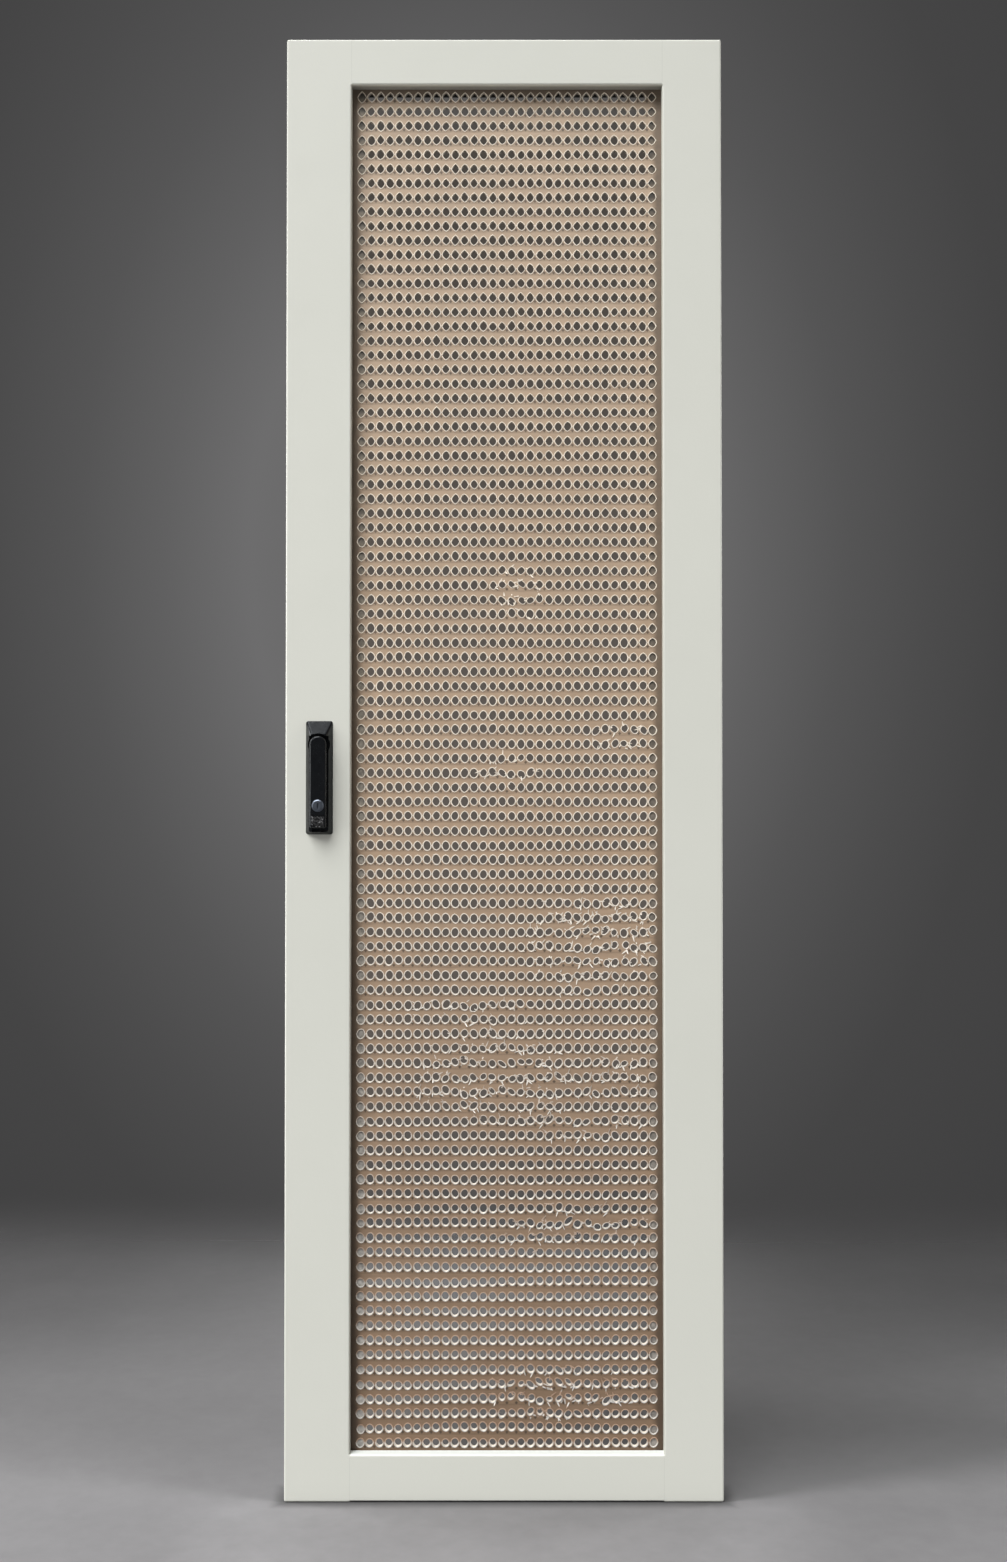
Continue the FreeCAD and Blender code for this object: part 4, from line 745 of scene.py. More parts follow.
def reckon(tree, operation, *values):
    """Result of a sum on numbers or sockets."""
    return add(tree, "Math", dict(enumerate(values)), operation=operation).outputs[0]


def run(tree, value, low, high, first=0.0, last=1.0, kind="LINEAR"):
    """Number that runs from first to last while the value runs from low to high."""
    ends = {"Value": value, "From Min": low, "From Max": high, "To Min": first, "To Max": last}
    return add(tree, "MapRange", ends, interpolation_type=kind).outputs[0]


def ease(tree, value, low, high, first=0.0, last=1.0):
    """The same with a soft start and a soft end."""
    return run(tree, value, low, high, first, last, "SMOOTHSTEP")


def pick(tree, share, first, last):
    """Number that runs from first to last with a share from 0 to 1."""
    return run(tree, share, 0.0, 1.0, first, last)


def multiply(tree, colour, factor):
    """Colour or place times a number or another colour."""
    return add(tree, "VectorMath", {0: colour, 1: factor}, operation="MULTIPLY").outputs[0]


def blend(tree, share, first, second):
    """Mix of two colours."""
    return add(tree, "MixRGB", {"Fac": share, "Color1": first, "Color2": second}).outputs[0]


def axes(tree, place):
    """The x, y and z of a place, a direction or a colour."""
    return tuple(add(tree, "SeparateXYZ", {0: place}).outputs)


def colour_ramp(tree, value, stops):
    """Colour that follows a value through its stops, each a spot and a colour."""
    node = add(tree, "ValToRGB", {"Fac": value})
    points = node.color_ramp.elements
    for point, (spot, colour) in ((points[0], stops[0]), (points[1], stops[-1])):
        point.position = spot
        point.color = colour
    for spot, colour in stops[1:-1]:
        points.new(spot).color = colour
    return node.outputs[0]


def tone_drift_group():
    """Slow unevenness of a colour."""
    tree, given, made = shader_group(
        "tone_drift",
        [("Vector", "Vector", None), ("Color", "Color", (0.5, 0.5, 0.5, 1)), ("Scale", "Float", 5.0),
         ("Amount", "Float", 0.05)],
        [("Color", "Color")])
    cloud = add(tree, "TexNoise", {"Vector": given["Vector"], "Scale": given["Scale"], "Detail": 4.0})
    centred = reckon(tree, "SUBTRACT", cloud.outputs["Fac"], 0.5)
    swing = reckon(tree, "MULTIPLY", centred, given["Amount"])
    gain = reckon(tree, "MULTIPLY_ADD", swing, 4.0, 1.0)
    mixed = multiply(tree, given["Color"], gain)
    tree.links.new(mixed, made["Color"])
    return tree


def gloss_drift_group():
    """Unevenness of a surface's gloss."""
    tree, given, made = shader_group(
        "gloss_drift",
        [("Vector", "Vector", None), ("Scale", "Float", 20.0), ("Lowest", "Float", 0.35),
         ("Highest", "Float", 0.5)],
        [("Roughness", "Float")])
    cloud = add(tree, "TexNoise", {"Vector": given["Vector"], "Scale": given["Scale"], "Detail": 5.0,
                                   "Roughness": 0.6})
    span = run(tree, cloud.outputs["Fac"], 0.3, 0.7, given["Lowest"], given["Highest"])
    tree.links.new(span, made["Roughness"])
    return tree


def grain_group():
    """Height of a fine grain over a softer swell."""
    tree, given, made = shader_group(
        "grain",
        [("Vector", "Vector", None), ("Scale", "Float", 800.0), ("Swell", "Float", 0.4)],
        [("Height", "Float")])
    fine = add(tree, "TexNoise", {"Vector": given["Vector"], "Scale": given["Scale"], "Detail": 2.0})
    slow_scale = reckon(tree, "MULTIPLY", given["Scale"], 0.22)
    slow = add(tree, "TexNoise", {"Vector": given["Vector"], "Scale": slow_scale, "Detail": 1.0})
    both = reckon(tree, "MULTIPLY_ADD", slow.outputs["Fac"], given["Swell"], fine.outputs["Fac"])
    tree.links.new(both, made["Height"])
    return tree


def brushed_group():
    """Fine lines left by grinding along one axis; Stretch sets the line density on each axis."""
    tree, given, made = shader_group(
        "brushed",
        [("Vector", "Vector", None), ("Stretch", "Vector", (40.0, 900.0, 900.0))],
        [("Lines", "Float")])
    long = multiply(tree, given["Vector"], given["Stretch"])
    lines = add(tree, "TexNoise", {"Vector": long, "Scale": 1.0, "Detail": 3.0})
    tree.links.new(lines.outputs["Fac"], made["Lines"])
    return tree


TONE, GLOSS, GRAIN, BRUSHED = tone_drift_group(), gloss_drift_group(), grain_group(), brushed_group()


def use(tree, effect, sockets):
    """Result of a shared effect placed in a material."""
    node = tree.nodes.new("ShaderNodeGroup")
    node.node_tree = effect
    return fill(tree, node, sockets).outputs[0]


def new_finish(name):
    """Material, its node tree, its shader and its object coordinates."""
    finish = bpy.data.materials.new(name)
    finish.use_nodes = True
    tree = finish.node_tree
    shader = tree.nodes["Principled BSDF"]
    place = add(tree, "TexCoord").outputs["Object"]
    return finish, tree, shader, place


def set_bump(tree, shader, height, strength, distance):
    bump = add(tree, "Bump", {"Height": height, "Strength": strength, "Distance": distance})
    tree.links.new(bump.outputs[0], shader.inputs["Normal"])


def toned(tree, place, colour, scale, amount):
    """Uneven colour."""
    return use(tree, TONE, {"Vector": place, "Color": colour, "Scale": scale, "Amount": amount})


def set_colour(tree, shader, colour):
    tree.links.new(colour, shader.inputs["Base Color"])


def set_gloss(tree, shader, place, scale, lowest, highest):
    """Uneven roughness."""
    gloss = use(tree, GLOSS, {"Vector": place, "Scale": scale, "Lowest": lowest, "Highest": highest})
    tree.links.new(gloss, shader.inputs["Roughness"])


def set_grain(tree, shader, place, scale, swell, strength, distance):
    """Bumpy grain."""
    height = use(tree, GRAIN, {"Vector": place, "Scale": scale, "Swell": swell})
    set_bump(tree, shader, height, strength, distance)


def linear(red, green, blue):
    """Colour from 0 to 255 as the shader takes it."""
    parts = [value / 255 for value in (red, green, blue)]
    return tuple(p / 12.92 if p <= 0.04045 else ((p + 0.055) / 1.055) ** 2.4 for p in parts) + (1.0,)


# Finishes

def frame_paint():
    """Pale grey powder coat: seams at the rails, painted shade under the lintel, painted light on folds and
    sill.
    """
    finish, tree, shader, place = new_finish("frame_paint")
    colour = toned(tree, place, linear(213, 214, 205), 3.0, 0.018)
    x, y, z = axes(tree, place)

    # Seams where the rails meet the stiles
    seam_half, rail_start, seam_shade = 0.0005, 0.004, 0.93
    left = reckon(tree, "COMPARE", x, WINDOW_LEFT, seam_half)
    right = reckon(tree, "COMPARE", x, WINDOW_RIGHT, seam_half)
    beside = reckon(tree, "MAXIMUM", left, right)
    above = reckon(tree, "GREATER_THAN", z, WINDOW_TOP + rail_start)
    below = reckon(tree, "LESS_THAN", z, WINDOW_FOOT - rail_start)
    on_rail = reckon(tree, "MAXIMUM", above, below)
    seam = reckon(tree, "MULTIPLY", beside, on_rail)
    shade = pick(tree, seam, 1.0, seam_shade)
    seamed = multiply(tree, colour, shade)

    # Painted shade under the top rail, painted light on the sill
    level_half, lintel_shade = 0.0006, 0.42
    lintel = reckon(tree, "COMPARE", z, WINDOW_TOP, level_half)
    inward = ease(tree, y, DOOR_FRONT + 0.0005, DOOR_FRONT + 0.009)
    under = reckon(tree, "MULTIPLY", lintel, inward)
    half = (WINDOW_RIGHT - WINDOW_LEFT) / 2
    between = reckon(tree, "COMPARE", x, WINDOW_LEFT + half, half + 0.0003)
    painted_lintel_shade = reckon(tree, "MULTIPLY", under, between)
    dim = pick(tree, painted_lintel_shade, 1.0, lintel_shade)
    lintel_shaded = multiply(tree, seamed, dim)
    level = reckon(tree, "COMPARE", z, WINDOW_FOOT, level_half)
    sill = reckon(tree, "MULTIPLY", level, between)

    # Painted highlight on the folds round the window
    middle_x, middle_z = WINDOW_LEFT + half, (WINDOW_TOP + WINDOW_FOOT) / 2
    from_x = reckon(tree, "SUBTRACT", x, middle_x)
    from_z = reckon(tree, "SUBTRACT", z, middle_z)
    far_x = reckon(tree, "ABSOLUTE", from_x)
    far_z = reckon(tree, "ABSOLUTE", from_z)
    out_x = reckon(tree, "SUBTRACT", far_x, half)
    out_z = reckon(tree, "SUBTRACT", far_z, WINDOW_TOP - middle_z)
    out = reckon(tree, "MAXIMUM", out_x, out_z)
    fold_highlight = ease(tree, out, 0.0002, 0.0018, 1.13, 1.0)
    outside = reckon(tree, "LESS_THAN", y, DOOR_FRONT + 0.0008)
    front_fold = pick(tree, outside, 1.0, fold_highlight)
    fold_highlighted = multiply(tree, lintel_shaded, front_fold)
    # Painted light on the sill, which faces up
    with_painted_sill = blend(tree, sill, fold_highlighted, linear(226, 230, 226))
    set_colour(tree, shader, with_painted_sill)
    set_gloss(tree, shader, place, 30.0, 0.40, 0.50)
    set_grain(tree, shader, place, 700.0, 1.2, 0.12, 0.0004)
    return finish


def row_offset(tree, z):
    """Height above the middle of the nearest row of holes."""
    rows = reckon(tree, "MULTIPLY_ADD", z, 1 / ROW_PITCH, 0.5 - FIRST_ROW / ROW_PITCH)
    phase = reckon(tree, "FRACT", rows)
    return reckon(tree, "MULTIPLY_ADD", phase, ROW_PITCH, -ROW_PITCH / 2)


def tan_sheet():
    """Tan acrylic: browner towards the foot, streaked along the rows, painted shade under them and at the
    window's edge.
    """
    finish, tree, shader, place = new_finish("tan_sheet")
    x, y, z = axes(tree, place)
    level = run(tree, z, WINDOW_FOOT, WINDOW_TOP)
    stops = ((0.0, linear(126, 103, 82)), (0.45, linear(172, 148, 124)), (1.0, linear(188, 166, 143)))
    browned = colour_ramp(tree, level, stops)
    streaks = add(tree, "Mapping", {"Vector": place, "Scale": (9.0, 1.0, 150.0)})
    streaked = toned(tree, streaks.outputs[0], browned, 1.0, 0.09)
    mottled = toned(tree, place, streaked, 60.0, 0.05)

    # Painted shade along the window's sides and top, where the frame's reveal shadows the sheet
    left = reckon(tree, "SUBTRACT", x, WINDOW_LEFT)
    right = reckon(tree, "SUBTRACT", WINDOW_RIGHT, x)
    side = reckon(tree, "MINIMUM", left, right)
    top = reckon(tree, "SUBTRACT", WINDOW_TOP, z)
    near = reckon(tree, "MINIMUM", side, top)
    cloud = add(tree, "TexNoise", {"Vector": place, "Scale": 70.0, "Detail": 2.0})
    loose = reckon(tree, "MULTIPLY_ADD", cloud.outputs["Fac"], 0.006, near)
    shade = ease(tree, loose, 0.008, 0.019, 0.38, 1.0)
    dark = multiply(tree, mottled, shade)

    # Painted shadow under each row and in the nooks between its holes
    rise = row_offset(tree, z)
    uneven = reckon(tree, "MULTIPLY_ADD", cloud.outputs["Fac"], 0.003, rise)
    under = reckon(tree, "SUBTRACT", uneven, -0.0064)
    line = reckon(tree, "ABSOLUTE", under)
    dusk = ease(tree, line, 0.0002, 0.0020, 0.80, 1.0)
    columns = reckon(tree, "MULTIPLY_ADD", x, 1 / HOLE_PITCH, -FIRST_HOLE / HOLE_PITCH)
    step = reckon(tree, "FRACT", columns)
    between = reckon(tree, "SUBTRACT", step, 0.5)
    off = reckon(tree, "ABSOLUTE", between)
    low = reckon(tree, "SUBTRACT", rise, -0.0054)
    level_off = reckon(tree, "ABSOLUTE", low)
    corner = reckon(tree, "MULTIPLY_ADD", off, HOLE_PITCH, level_off)
    nook = ease(tree, corner, 0.0012, 0.0034, 0.30, 1.0)
    row_shadow = reckon(tree, "MULTIPLY", dusk, nook)
    face = reckon(tree, "LESS_THAN", y, SHEET_FRONT + 0.0003)
    reach = (COLUMNS - 1) * HOLE_PITCH / 2
    in_columns = reckon(tree, "COMPARE", x, FIRST_HOLE + reach, reach)
    tall = (ROWS - 0.4) * ROW_PITCH / 2
    in_rows = reckon(tree, "COMPARE", z, FIRST_ROW - 0.7 * ROW_PITCH + tall, tall)
    pierced = reckon(tree, "MULTIPLY", in_columns, in_rows)
    where = reckon(tree, "MULTIPLY", face, pierced)
    light = pick(tree, where, 1.0, row_shadow)
    row_shadowed = multiply(tree, dark, light)
    set_colour(tree, shader, row_shadowed)
    set_gloss(tree, shader, place, 45.0, 0.42, 0.62)
    set_grain(tree, shader, place, 420.0, 1.5, 0.25, 0.0004)
    return finish


def cut_acrylic(name, low, high, lowest, highest, mottle=0.14, shade=(1.0, 1.0), crown=None,
                shares=(0.85, 0.10), levels=(0.05, 0.70)):
    """Frosted cut of the acrylic, low on the sheet and high, with painted shade where it faces down.

    The crown paints shade on the tops of the rows by its shares. Shade and shares are given for the low
    rows and the high ones, and the levels are the heights between which the shares change.
    """
    finish, tree, shader, place = new_finish(name)
    z = axes(tree, place)[2]
    climb = run(tree, z, 0.15, 1.00)
    colour = blend(tree, climb, low, high)
    tone = toned(tree, place, colour, 170.0, mottle)
    # Painted shade on faces that point down
    turn = axes(tree, add(tree, "NewGeometry").outputs["Normal"])[2]
    shades = ease(tree, z, 0.10, 0.75, shade[0], shade[1])
    down_shade = ease(tree, turn, -0.5, 0.3, shades, 1.0)
    tinted = multiply(tree, tone, down_shade)
    # Painted shade on the upper half of each ring or slug, changing with height
    if crown:
        upper = ease(tree, row_offset(tree, z), -0.0030, 0.0040)
        fade = ease(tree, z, levels[0], levels[1], shares[0], shares[1])
        share = reckon(tree, "MULTIPLY", upper, fade)
        tinted = blend(tree, share, tinted, crown)
    set_colour(tree, shader, tinted)
    set_gloss(tree, shader, place, 300.0, lowest, highest)
    set_grain(tree, shader, place, 1500.0, 0.8, 0.3, 0.0003)
    return finish


def black_casting():
    """Black satin coat over a cast surface."""
    finish, tree, shader, place = new_finish("black_casting")
    shader.inputs["Specular IOR Level"].default_value = 0.32
    shader.inputs["Specular Tint"].default_value = (0.90, 0.96, 1.0, 1)
    colour = toned(tree, place, (0.0055, 0.006, 0.007, 1), 40.0, 0.12)
    set_colour(tree, shader, colour)
    set_gloss(tree, shader, place, 160.0, 0.20, 0.29)
    set_grain(tree, shader, place, 2200.0, 0.6, 0.10, 0.0002)
    return finish


def zinc_steel():
    """Galvanised sheet with a faint spangle."""
    finish, tree, shader, place = new_finish("zinc_steel")
    shader.inputs["Metallic"].default_value = 1.0
    spangle = add(tree, "TexVoronoi", {"Vector": place, "Scale": 160.0})
    tint = add(tree, "SeparateColor", {0: spangle.outputs["Color"]})
    tone = pick(tree, tint.outputs[0], 0.50, 0.59)
    cool = add(tree, "CombineColor", {0: tone, 1: tone, 2: tone})
    colour = toned(tree, place, cool.outputs[0], 25.0, 0.06)
    set_colour(tree, shader, colour)
    gloss = pick(tree, tint.outputs[1], 0.38, 0.49)
    tree.links.new(gloss, shader.inputs["Roughness"])
    set_grain(tree, shader, place, 900.0, 0.5, 0.08, 0.0002)
    return finish


def turned_steel(name, colour, stretch, lowest, highest):
    """Bare steel with grinding lines."""
    finish, tree, shader, place = new_finish(name)
    shader.inputs["Metallic"].default_value = 1.0
    lines = use(tree, BRUSHED, {"Vector": place, "Stretch": stretch})
    tone = toned(tree, place, colour, 120.0, 0.10)
    set_colour(tree, shader, tone)
    gloss = run(tree, lines, 0.3, 0.7, lowest, highest)
    tree.links.new(gloss, shader.inputs["Roughness"])
    set_bump(tree, shader, lines, 0.08, 0.0001)
    return finish


def grip_rubber():
    """Black rubber with a pebbled face, some of its grains pale."""
    finish, tree, shader, place = new_finish("grip_rubber")
    grains = add(tree, "TexVoronoi", {"Vector": place, "Scale": 520.0})
    stops = [(0.0, (0.006, 0.006, 0.0065, 1))]
    stops += [(spot, (grey, grey, grey * 1.03, 1)) for spot, grey in ((0.55, 0.008), (0.80, 0.060))]
    stops += [(1.0, (0.300, 0.305, 0.310, 1))]
    pale_grains = colour_ramp(tree, axes(tree, grains.outputs["Color"])[0], stops)
    colour = toned(tree, place, pale_grains, 300.0, 0.3)
    set_colour(tree, shader, colour)
    set_gloss(tree, shader, place, 500.0, 0.16, 0.34)
    set_grain(tree, shader, place, 2500.0, 0.8, 0.3, 0.0003)
    return finish


def guide_nylon():
    """Natural nylon, slightly cloudy."""
    finish, tree, shader, place = new_finish("guide_nylon")
    colour = toned(tree, place, linear(222, 217, 203), 90.0, 0.05)
    set_colour(tree, shader, colour)
    set_gloss(tree, shader, place, 120.0, 0.40, 0.55)
    set_grain(tree, shader, place, 1200.0, 0.8, 0.1, 0.0002)
    return finish


def foam_rubber():
    """Black cellular foam tape."""
    finish, tree, shader, place = new_finish("foam_rubber")
    cells = add(tree, "TexVoronoi", {"Vector": place, "Scale": 1300.0})
    shade = pick(tree, cells.outputs["Distance"], 0.012, 0.05)
    colour = add(tree, "CombineColor", {0: shade, 1: shade, 2: shade})
    set_colour(tree, shader, colour.outputs[0])
    set_gloss(tree, shader, place, 200.0, 0.85, 0.98)
    set_bump(tree, shader, cells.outputs["Distance"], 0.6, 0.0004)
    return finish


FINISHES = {
    "frame_paint": frame_paint(),
    "tan_acrylic": tan_sheet(),
    "foam_rubber": foam_rubber(),
    "zinc_steel": zinc_steel(),
    "fastener_steel": turned_steel("fastener_steel", (0.55, 0.55, 0.53, 1), (600.0, 600.0, 600.0),
                                   0.26, 0.42),
    "lock_steel": turned_steel("lock_steel", (0.155, 0.175, 0.21, 1), (900.0, 900.0, 60.0), 0.34, 0.48),
    "black_casting": black_casting(),
    "grip_rubber": grip_rubber(),
    "guide_nylon": guide_nylon(),
}


def dress_nodes():
    """Give every node of the frame the finish of its slot."""
    for part in frame["record"]["subparts"]:
        node = frame["nodes"][part["node"]]
        finish = FINISHES[part["material_slot"]]
        if node.material_slots:
            for holder in node.material_slots:
                holder.material = finish
        else:
            node.data.materials.append(finish)


# Studio

def studio_floor():
    """Pale grey floor that fades into the backdrop, with the door's shadows and a lit apron painted on it."""
    start_piece()
    bpy.ops.mesh.primitive_plane_add(size=40.0, location=(DOOR_MIDDLE, 0.0, FLOOR_HEIGHT - 0.0005))
    floor = name_piece("studio_floor")
    settle(floor)
    finish, tree, shader, place = new_finish("studio_floor")
    x, y, _ = axes(tree, place)
    away = run(tree, y, -0.5, 2.4)
    greys = ((0.108, 0.155), (0.181, 0.141), (0.286, 0.097), (0.423, 0.073), (0.586, 0.050), (0.734, 0.036))
    stops = [(0.0, (0.165, 0.162, 0.165, 1))]
    stops += [(spot, (grey, grey * 0.98, grey, 1)) for spot, grey in greys]
    stops += [(1.0, (0.030, 0.030, 0.031, 1))]
    paint = colour_ramp(tree, away, stops)
    cloudy = toned(tree, place, paint, 7.0, 0.06)
    speckled = toned(tree, place, cloudy, 45.0, 0.05)

    # Painted shadow of the door beside it, deeper to the right
    deep = ease(tree, y, -0.25, 0.30, 0.82, 0.66)
    right = ease(tree, x, -0.5, 0.35, 1.0, deep)
    past = reckon(tree, "SUBTRACT", x, DOOR_RIGHT)
    short = reckon(tree, "SUBTRACT", DOOR_LEFT, x)
    beside = reckon(tree, "MAXIMUM", past, short)
    behind = reckon(tree, "SUBTRACT", y, DOOR_FRONT)
    gap = reckon(tree, "MAXIMUM", beside, 0.01)
    slope = reckon(tree, "DIVIDE", behind, gap)
    wedge = ease(tree, slope, 0.08, 0.50)
    close = ease(tree, y, 0.18, 0.45, 1.0, 0.0)
    cast = reckon(tree, "MULTIPLY", wedge, close)
    depth = run(tree, x, -0.5, 0.0, 0.83, 0.60)
    shadow = pick(tree, cast, 1.0, depth)

    # Painted light on an apron before the door
    ahead = run(tree, behind, 0.02, -0.02)
    span = ease(tree, beside, 0.0, 0.18, 1.0, 0.0)
    ending = ease(tree, behind, -0.70, -0.22)
    apron = reckon(tree, "MULTIPLY", span, ending)
    before = reckon(tree, "MULTIPLY", ahead, apron)
    lit = pick(tree, before, 1.0, 1.36)

    # Painted contact shadow under the door
    forward = reckon(tree, "MULTIPLY", behind, -1.0)
    rear = reckon(tree, "SUBTRACT", behind, 0.04)
    deeper = reckon(tree, "MAXIMUM", forward, rear)
    off = reckon(tree, "MAXIMUM", deeper, beside)
    contact = ease(tree, off, 0.0, 0.022, 0.50, 1.0)
    lit = reckon(tree, "MULTIPLY", lit, contact)
    level = reckon(tree, "MULTIPLY", shadow, lit)
    dimmed = reckon(tree, "MULTIPLY", right, level)
    shaded = multiply(tree, speckled, dimmed)

    # Painted soft shade straight behind the door
    middle = reckon(tree, "SUBTRACT", x, DOOR_MIDDLE)
    aside = reckon(tree, "ABSOLUTE", middle)
    wider = reckon(tree, "MULTIPLY_ADD", behind, 0.45, 1.0)
    share = reckon(tree, "DIVIDE", aside, wider)
    lee = ease(tree, share, 0.18, 0.29, 1.0, 0.0)
    hidden = run(tree, behind, 0.02, 0.10)
    thin = ease(tree, behind, 0.45, 1.30, 1.0, 0.0)
    dusk = reckon(tree, "MULTIPLY", lee, hidden)
    lull = reckon(tree, "MULTIPLY", dusk, thin)
    tint = blend(tree, lull, (1, 1, 1, 1), (0.70, 0.67, 0.63, 1))
    sheltered = multiply(tree, shaded, tint)
    set_colour(tree, shader, sheltered)
    shader.inputs["Roughness"].default_value = 0.8

    # Far off, the camera sees through to the backdrop
    clear = add(tree, "BsdfTransparent")
    fade = ease(tree, y, 1.05, 1.75)
    path = add(tree, "LightPath")
    seen = reckon(tree, "MULTIPLY", fade, path.outputs["Is Camera Ray"])
    mix = add(tree, "MixShader", {0: seen, 1: shader.outputs[0], 2: clear.outputs[0]})
    tree.links.new(mix.outputs[0], tree.nodes["Material Output"].inputs["Surface"])
    floor.data.materials.append(finish)


def studio_world():
    """Soft grey light all round; the camera and reflections see the dark backdrop, painted shade behind the
    door.
    """
    world = bpy.data.worlds.new("studio")
    bpy.context.scene.world = world
    world.use_nodes = True
    tree = world.node_tree
    tree.nodes.clear()
    path = add(tree, "LightPath")
    seen = reckon(tree, "MAXIMUM", path.outputs["Is Camera Ray"], path.outputs["Is Glossy Ray"])
    shown = reckon(tree, "MAXIMUM", seen, path.outputs["Is Transmission Ray"])
    soft = add(tree, "Background", {"Color": (1.0, 1.0, 1.0, 1), "Strength": 0.07})
    aim = add(tree, "TexCoord").outputs["Generated"]
    # Painted glow on the backdrop, brightest near the door and darker outwards
    glow = add(tree, "Mapping", {"Vector": aim, "Location": (0.023, 0.6, -0.105), "Scale": (1.0, -0.6, 0.70)})
    far = add(tree, "VectorMath", {0: glow.outputs[0]}, operation="LENGTH")
    greys = ((0.131, 0.154), (0.180, 0.119), (0.228, 0.091), (0.275, 0.073), (0.320, 0.060))
    stops = [(0.0, (0.120, 0.118, 0.116, 1))]
    stops += [(spot, (grey, grey * 0.99, grey, 1)) for spot, grey in greys]
    stops += [(0.60, (0.036, 0.036, 0.037, 1))]
    plain = colour_ramp(tree, far.outputs["Value"], stops)

    # Painted shade straight behind the door, as the door's shadow on the backdrop
    x, y, z = axes(tree, aim)
    aside = reckon(tree, "ABSOLUTE", x)
    across = ease(tree, aside, 0.080, 0.134, 1.0, 0.0)
    over = ease(tree, z, 0.370, 0.430, 1.0, 0.0)
    beyond = reckon(tree, "GREATER_THAN", y, 0.0)
    under = ease(tree, z, -0.28, -0.15)
    upright = reckon(tree, "MULTIPLY", over, under)
    within = reckon(tree, "MULTIPLY", across, upright)
    behind = reckon(tree, "MULTIPLY", within, beyond)
    climb = run(tree, z, 0.05, 0.36)
    shade = blend(tree, climb, linear(94, 88, 83), linear(75, 70, 65))
    shaded = blend(tree, behind, plain, shade)
    backdrop = add(tree, "Background", {"Color": shaded, "Strength": 1.0})
    mix = add(tree, "MixShader", {0: shown, 1: soft.outputs[0], 2: backdrop.outputs[0]})
    add(tree, "OutputWorld", {"Surface": mix.outputs[0]})


def place_lamp(name, light, place, direction):
    """Put a lamp at a place, shining along a direction."""
    lamp = bpy.data.objects.new(name, light)
    bpy.context.scene.collection.objects.link(lamp)
    lamp.location = place
    lamp.rotation_euler = Vector(direction).to_track_quat("-Z", "Y").to_euler()


def softbox(name, place, aim, width, height, power, tint=(1.0, 1.0, 1.0), spread=180.0):
    """Rectangular lamp aimed at a point."""
    light = bpy.data.lights.new(name, "AREA")
    light.shape = "RECTANGLE"
    light.size, light.size_y = width, height
    light.energy = power
    light.color = tint
    light.spread = math.radians(spread)
    place_lamp(name, light, place, Vector(aim) - Vector(place))


def studio_lights():
    middle = (DOOR_MIDDLE, 0.0, 0.9)
    softbox("left_box", (-2.2, -1.2, 1.3), middle, 0.24, 2.2, 12.0)
    softbox("right_box", (1.64, -1.2, 1.3), middle, 0.45, 2.2, 6.5, (1.0, 0.985, 0.96))
    softbox("overhead_box", (DOOR_MIDDLE, -0.9, 4.2), (DOOR_MIDDLE, -0.4, 0.0), 2.4, 1.0, 9.0)
    softbox("rear_box", (DOOR_MIDDLE, 1.5, 3.3), (DOOR_MIDDLE, 0.6, 0.0), 2.4, 1.0, 60.0)
    softbox("behind_box", (DOOR_MIDDLE, 1.0, 2.4), (DOOR_MIDDLE, 0.9, 0.0), 0.35, 1.1, 2.6, spread=34.0)
    softbox("left_strip", (-1.5, 0.2, 1.05), (DOOR_LEFT, -0.03, 1.05), 0.3, 1.9, 14.0)
    softbox("right_strip", (0.94, 0.35, 1.05), (DOOR_RIGHT, -0.03, 1.05), 0.3, 1.9, 12.0)
    sky = bpy.data.lights.new("ceiling_bounce", "SUN")
    sky.energy = 3.95
    sky.angle = math.radians(40.0)
    place_lamp("ceiling_bounce", sky, (0.0, 0.0, 0.0), (0.30, 0.52, -0.80))


def studio_camera():
    """Camera at the photograph's angle."""
    sensor, focal_pixels, photo_height = 36.0, 1630, 1562
    data = bpy.data.cameras.new("camera")
    data.sensor_width = sensor
    data.lens = sensor * focal_pixels / photo_height
    camera = bpy.data.objects.new("camera", data)
    bpy.context.scene.collection.objects.link(camera)
    camera.location = (-0.2796, DOOR_FRONT - 2.1993, 0.8313)
    camera.rotation_euler = (math.radians(90.0 + 0.92), 0.0, 0.0)
    bpy.context.scene.camera = camera


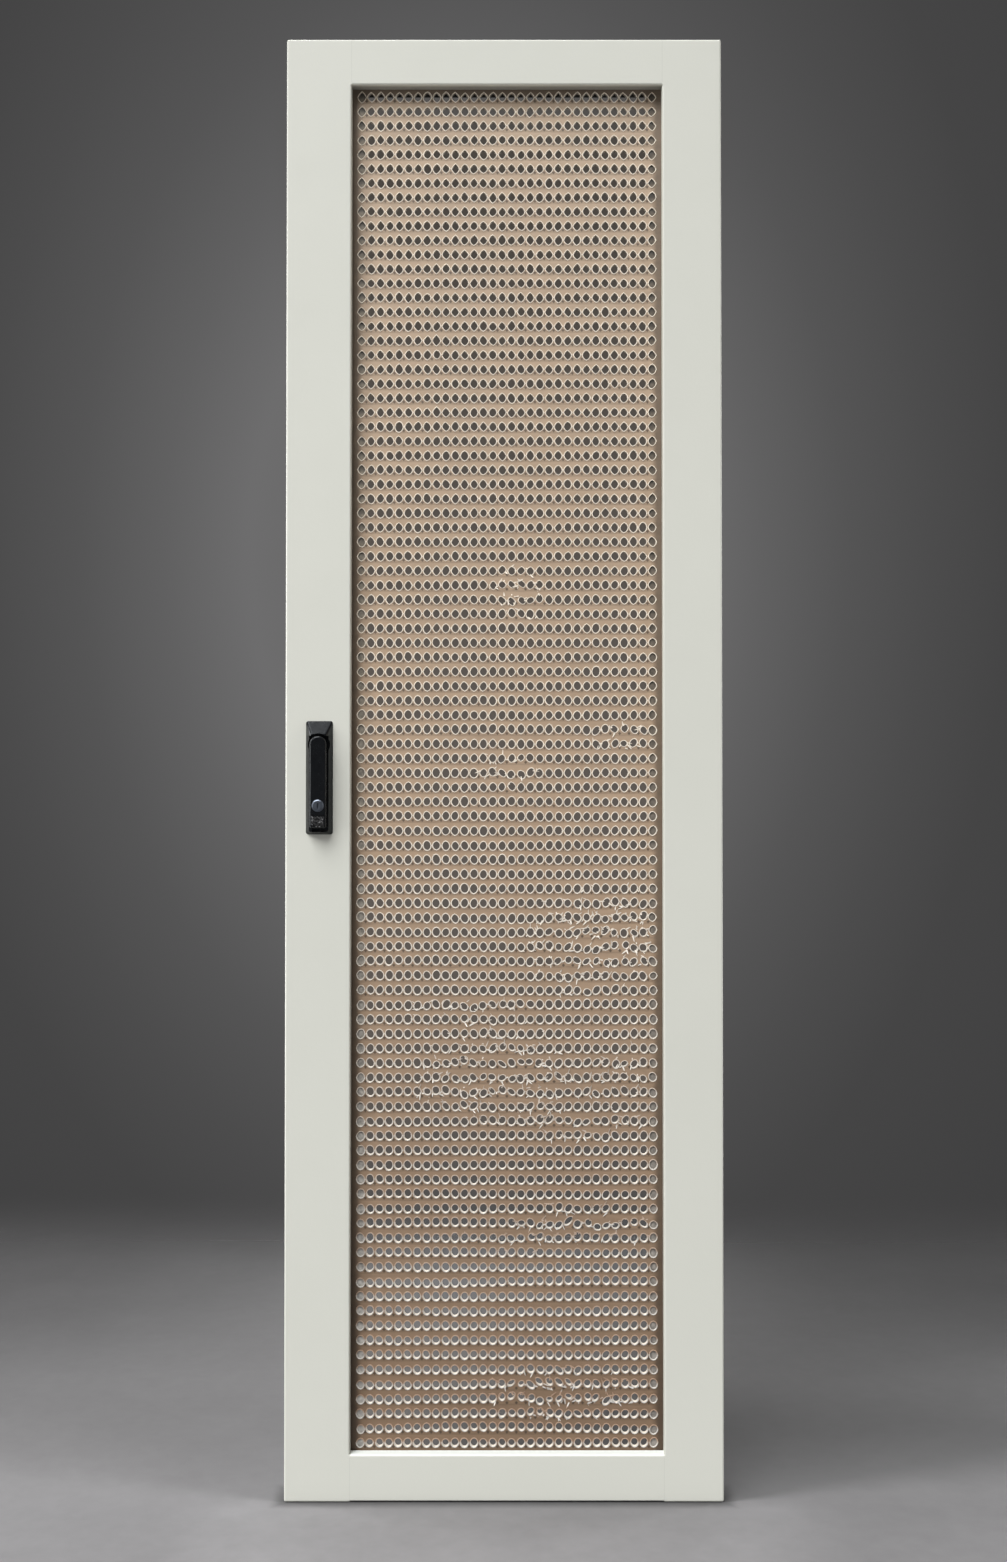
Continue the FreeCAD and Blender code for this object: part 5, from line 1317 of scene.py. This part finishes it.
# Rims: painted shade where they face down, mostly on the low rows, and on their upper halves on the low rows
RIM_FINISH = cut_acrylic("rim_acrylic", linear(222, 218, 212), linear(246, 236, 220), 0.35, 0.60,
                         shade=(0.55, 1.0), crown=linear(170, 136, 108))
# Slugs: mottled, darker towards the top, with painted shade on their upper halves in the high rows
SLUG_MOTTLE_AND_SHADE = {"mottle": 0.42, "crown": linear(60, 56, 52), "shares": (0.15, 0.90), "levels": (0.80, 1.50)}
LEFT_SLUG_FINISH = cut_acrylic("left_slug_acrylic", linear(176, 173, 168), linear(136, 129, 117), 0.35, 0.60,
                               **SLUG_MOTTLE_AND_SHADE)
# The right slugs are a darker copy, painted shade at the window's right edge
RIGHT_SLUG_FINISH = cut_acrylic("right_slug_acrylic", linear(140, 135, 129), linear(106, 98, 88), 0.35, 0.60,
                                **SLUG_MOTTLE_AND_SHADE)
# Hole walls: painted shade where they face down
CUT_FINISH = cut_acrylic("cut_acrylic", linear(226, 216, 202), linear(226, 216, 202), 0.50, 0.75,
                         shade=(0.22, 0.22))

dress_nodes()
perforated_sheet(FINISHES["tan_acrylic"], CUT_FINISH)
hole_rims(RIM_FINISH, "hole_rims_lower", 0, ROWS // 2)
hole_rims(RIM_FINISH, "hole_rims_upper", ROWS // 2, ROWS - ROWS // 2)
frosted_slugs(LEFT_SLUG_FINISH, "frosted_slugs_left", 0)
frosted_slugs(RIGHT_SLUG_FINISH, "frosted_slugs_right", COLUMNS - 1)
foam_bead(FINISHES["foam_rubber"])
burrs(RIM_FINISH)
clamp_studs(FINISHES["fastener_steel"])
clamp_nuts(FINISHES["fastener_steel"])
dish_screws(FINISHES["fastener_steel"])
earth_stud(FINISHES["fastener_steel"])
cam_screw(FINISHES["fastener_steel"])
lock_barrel(FINISHES["lock_steel"])
hinge_spring(FINISHES["fastener_steel"])
grip_pad(FINISHES["grip_rubber"])
weld_beads(FINISHES["frame_paint"])
studio_world()
studio_floor()
studio_lights()
studio_camera()
bpy.context.scene.view_settings.view_transform = "Standard"
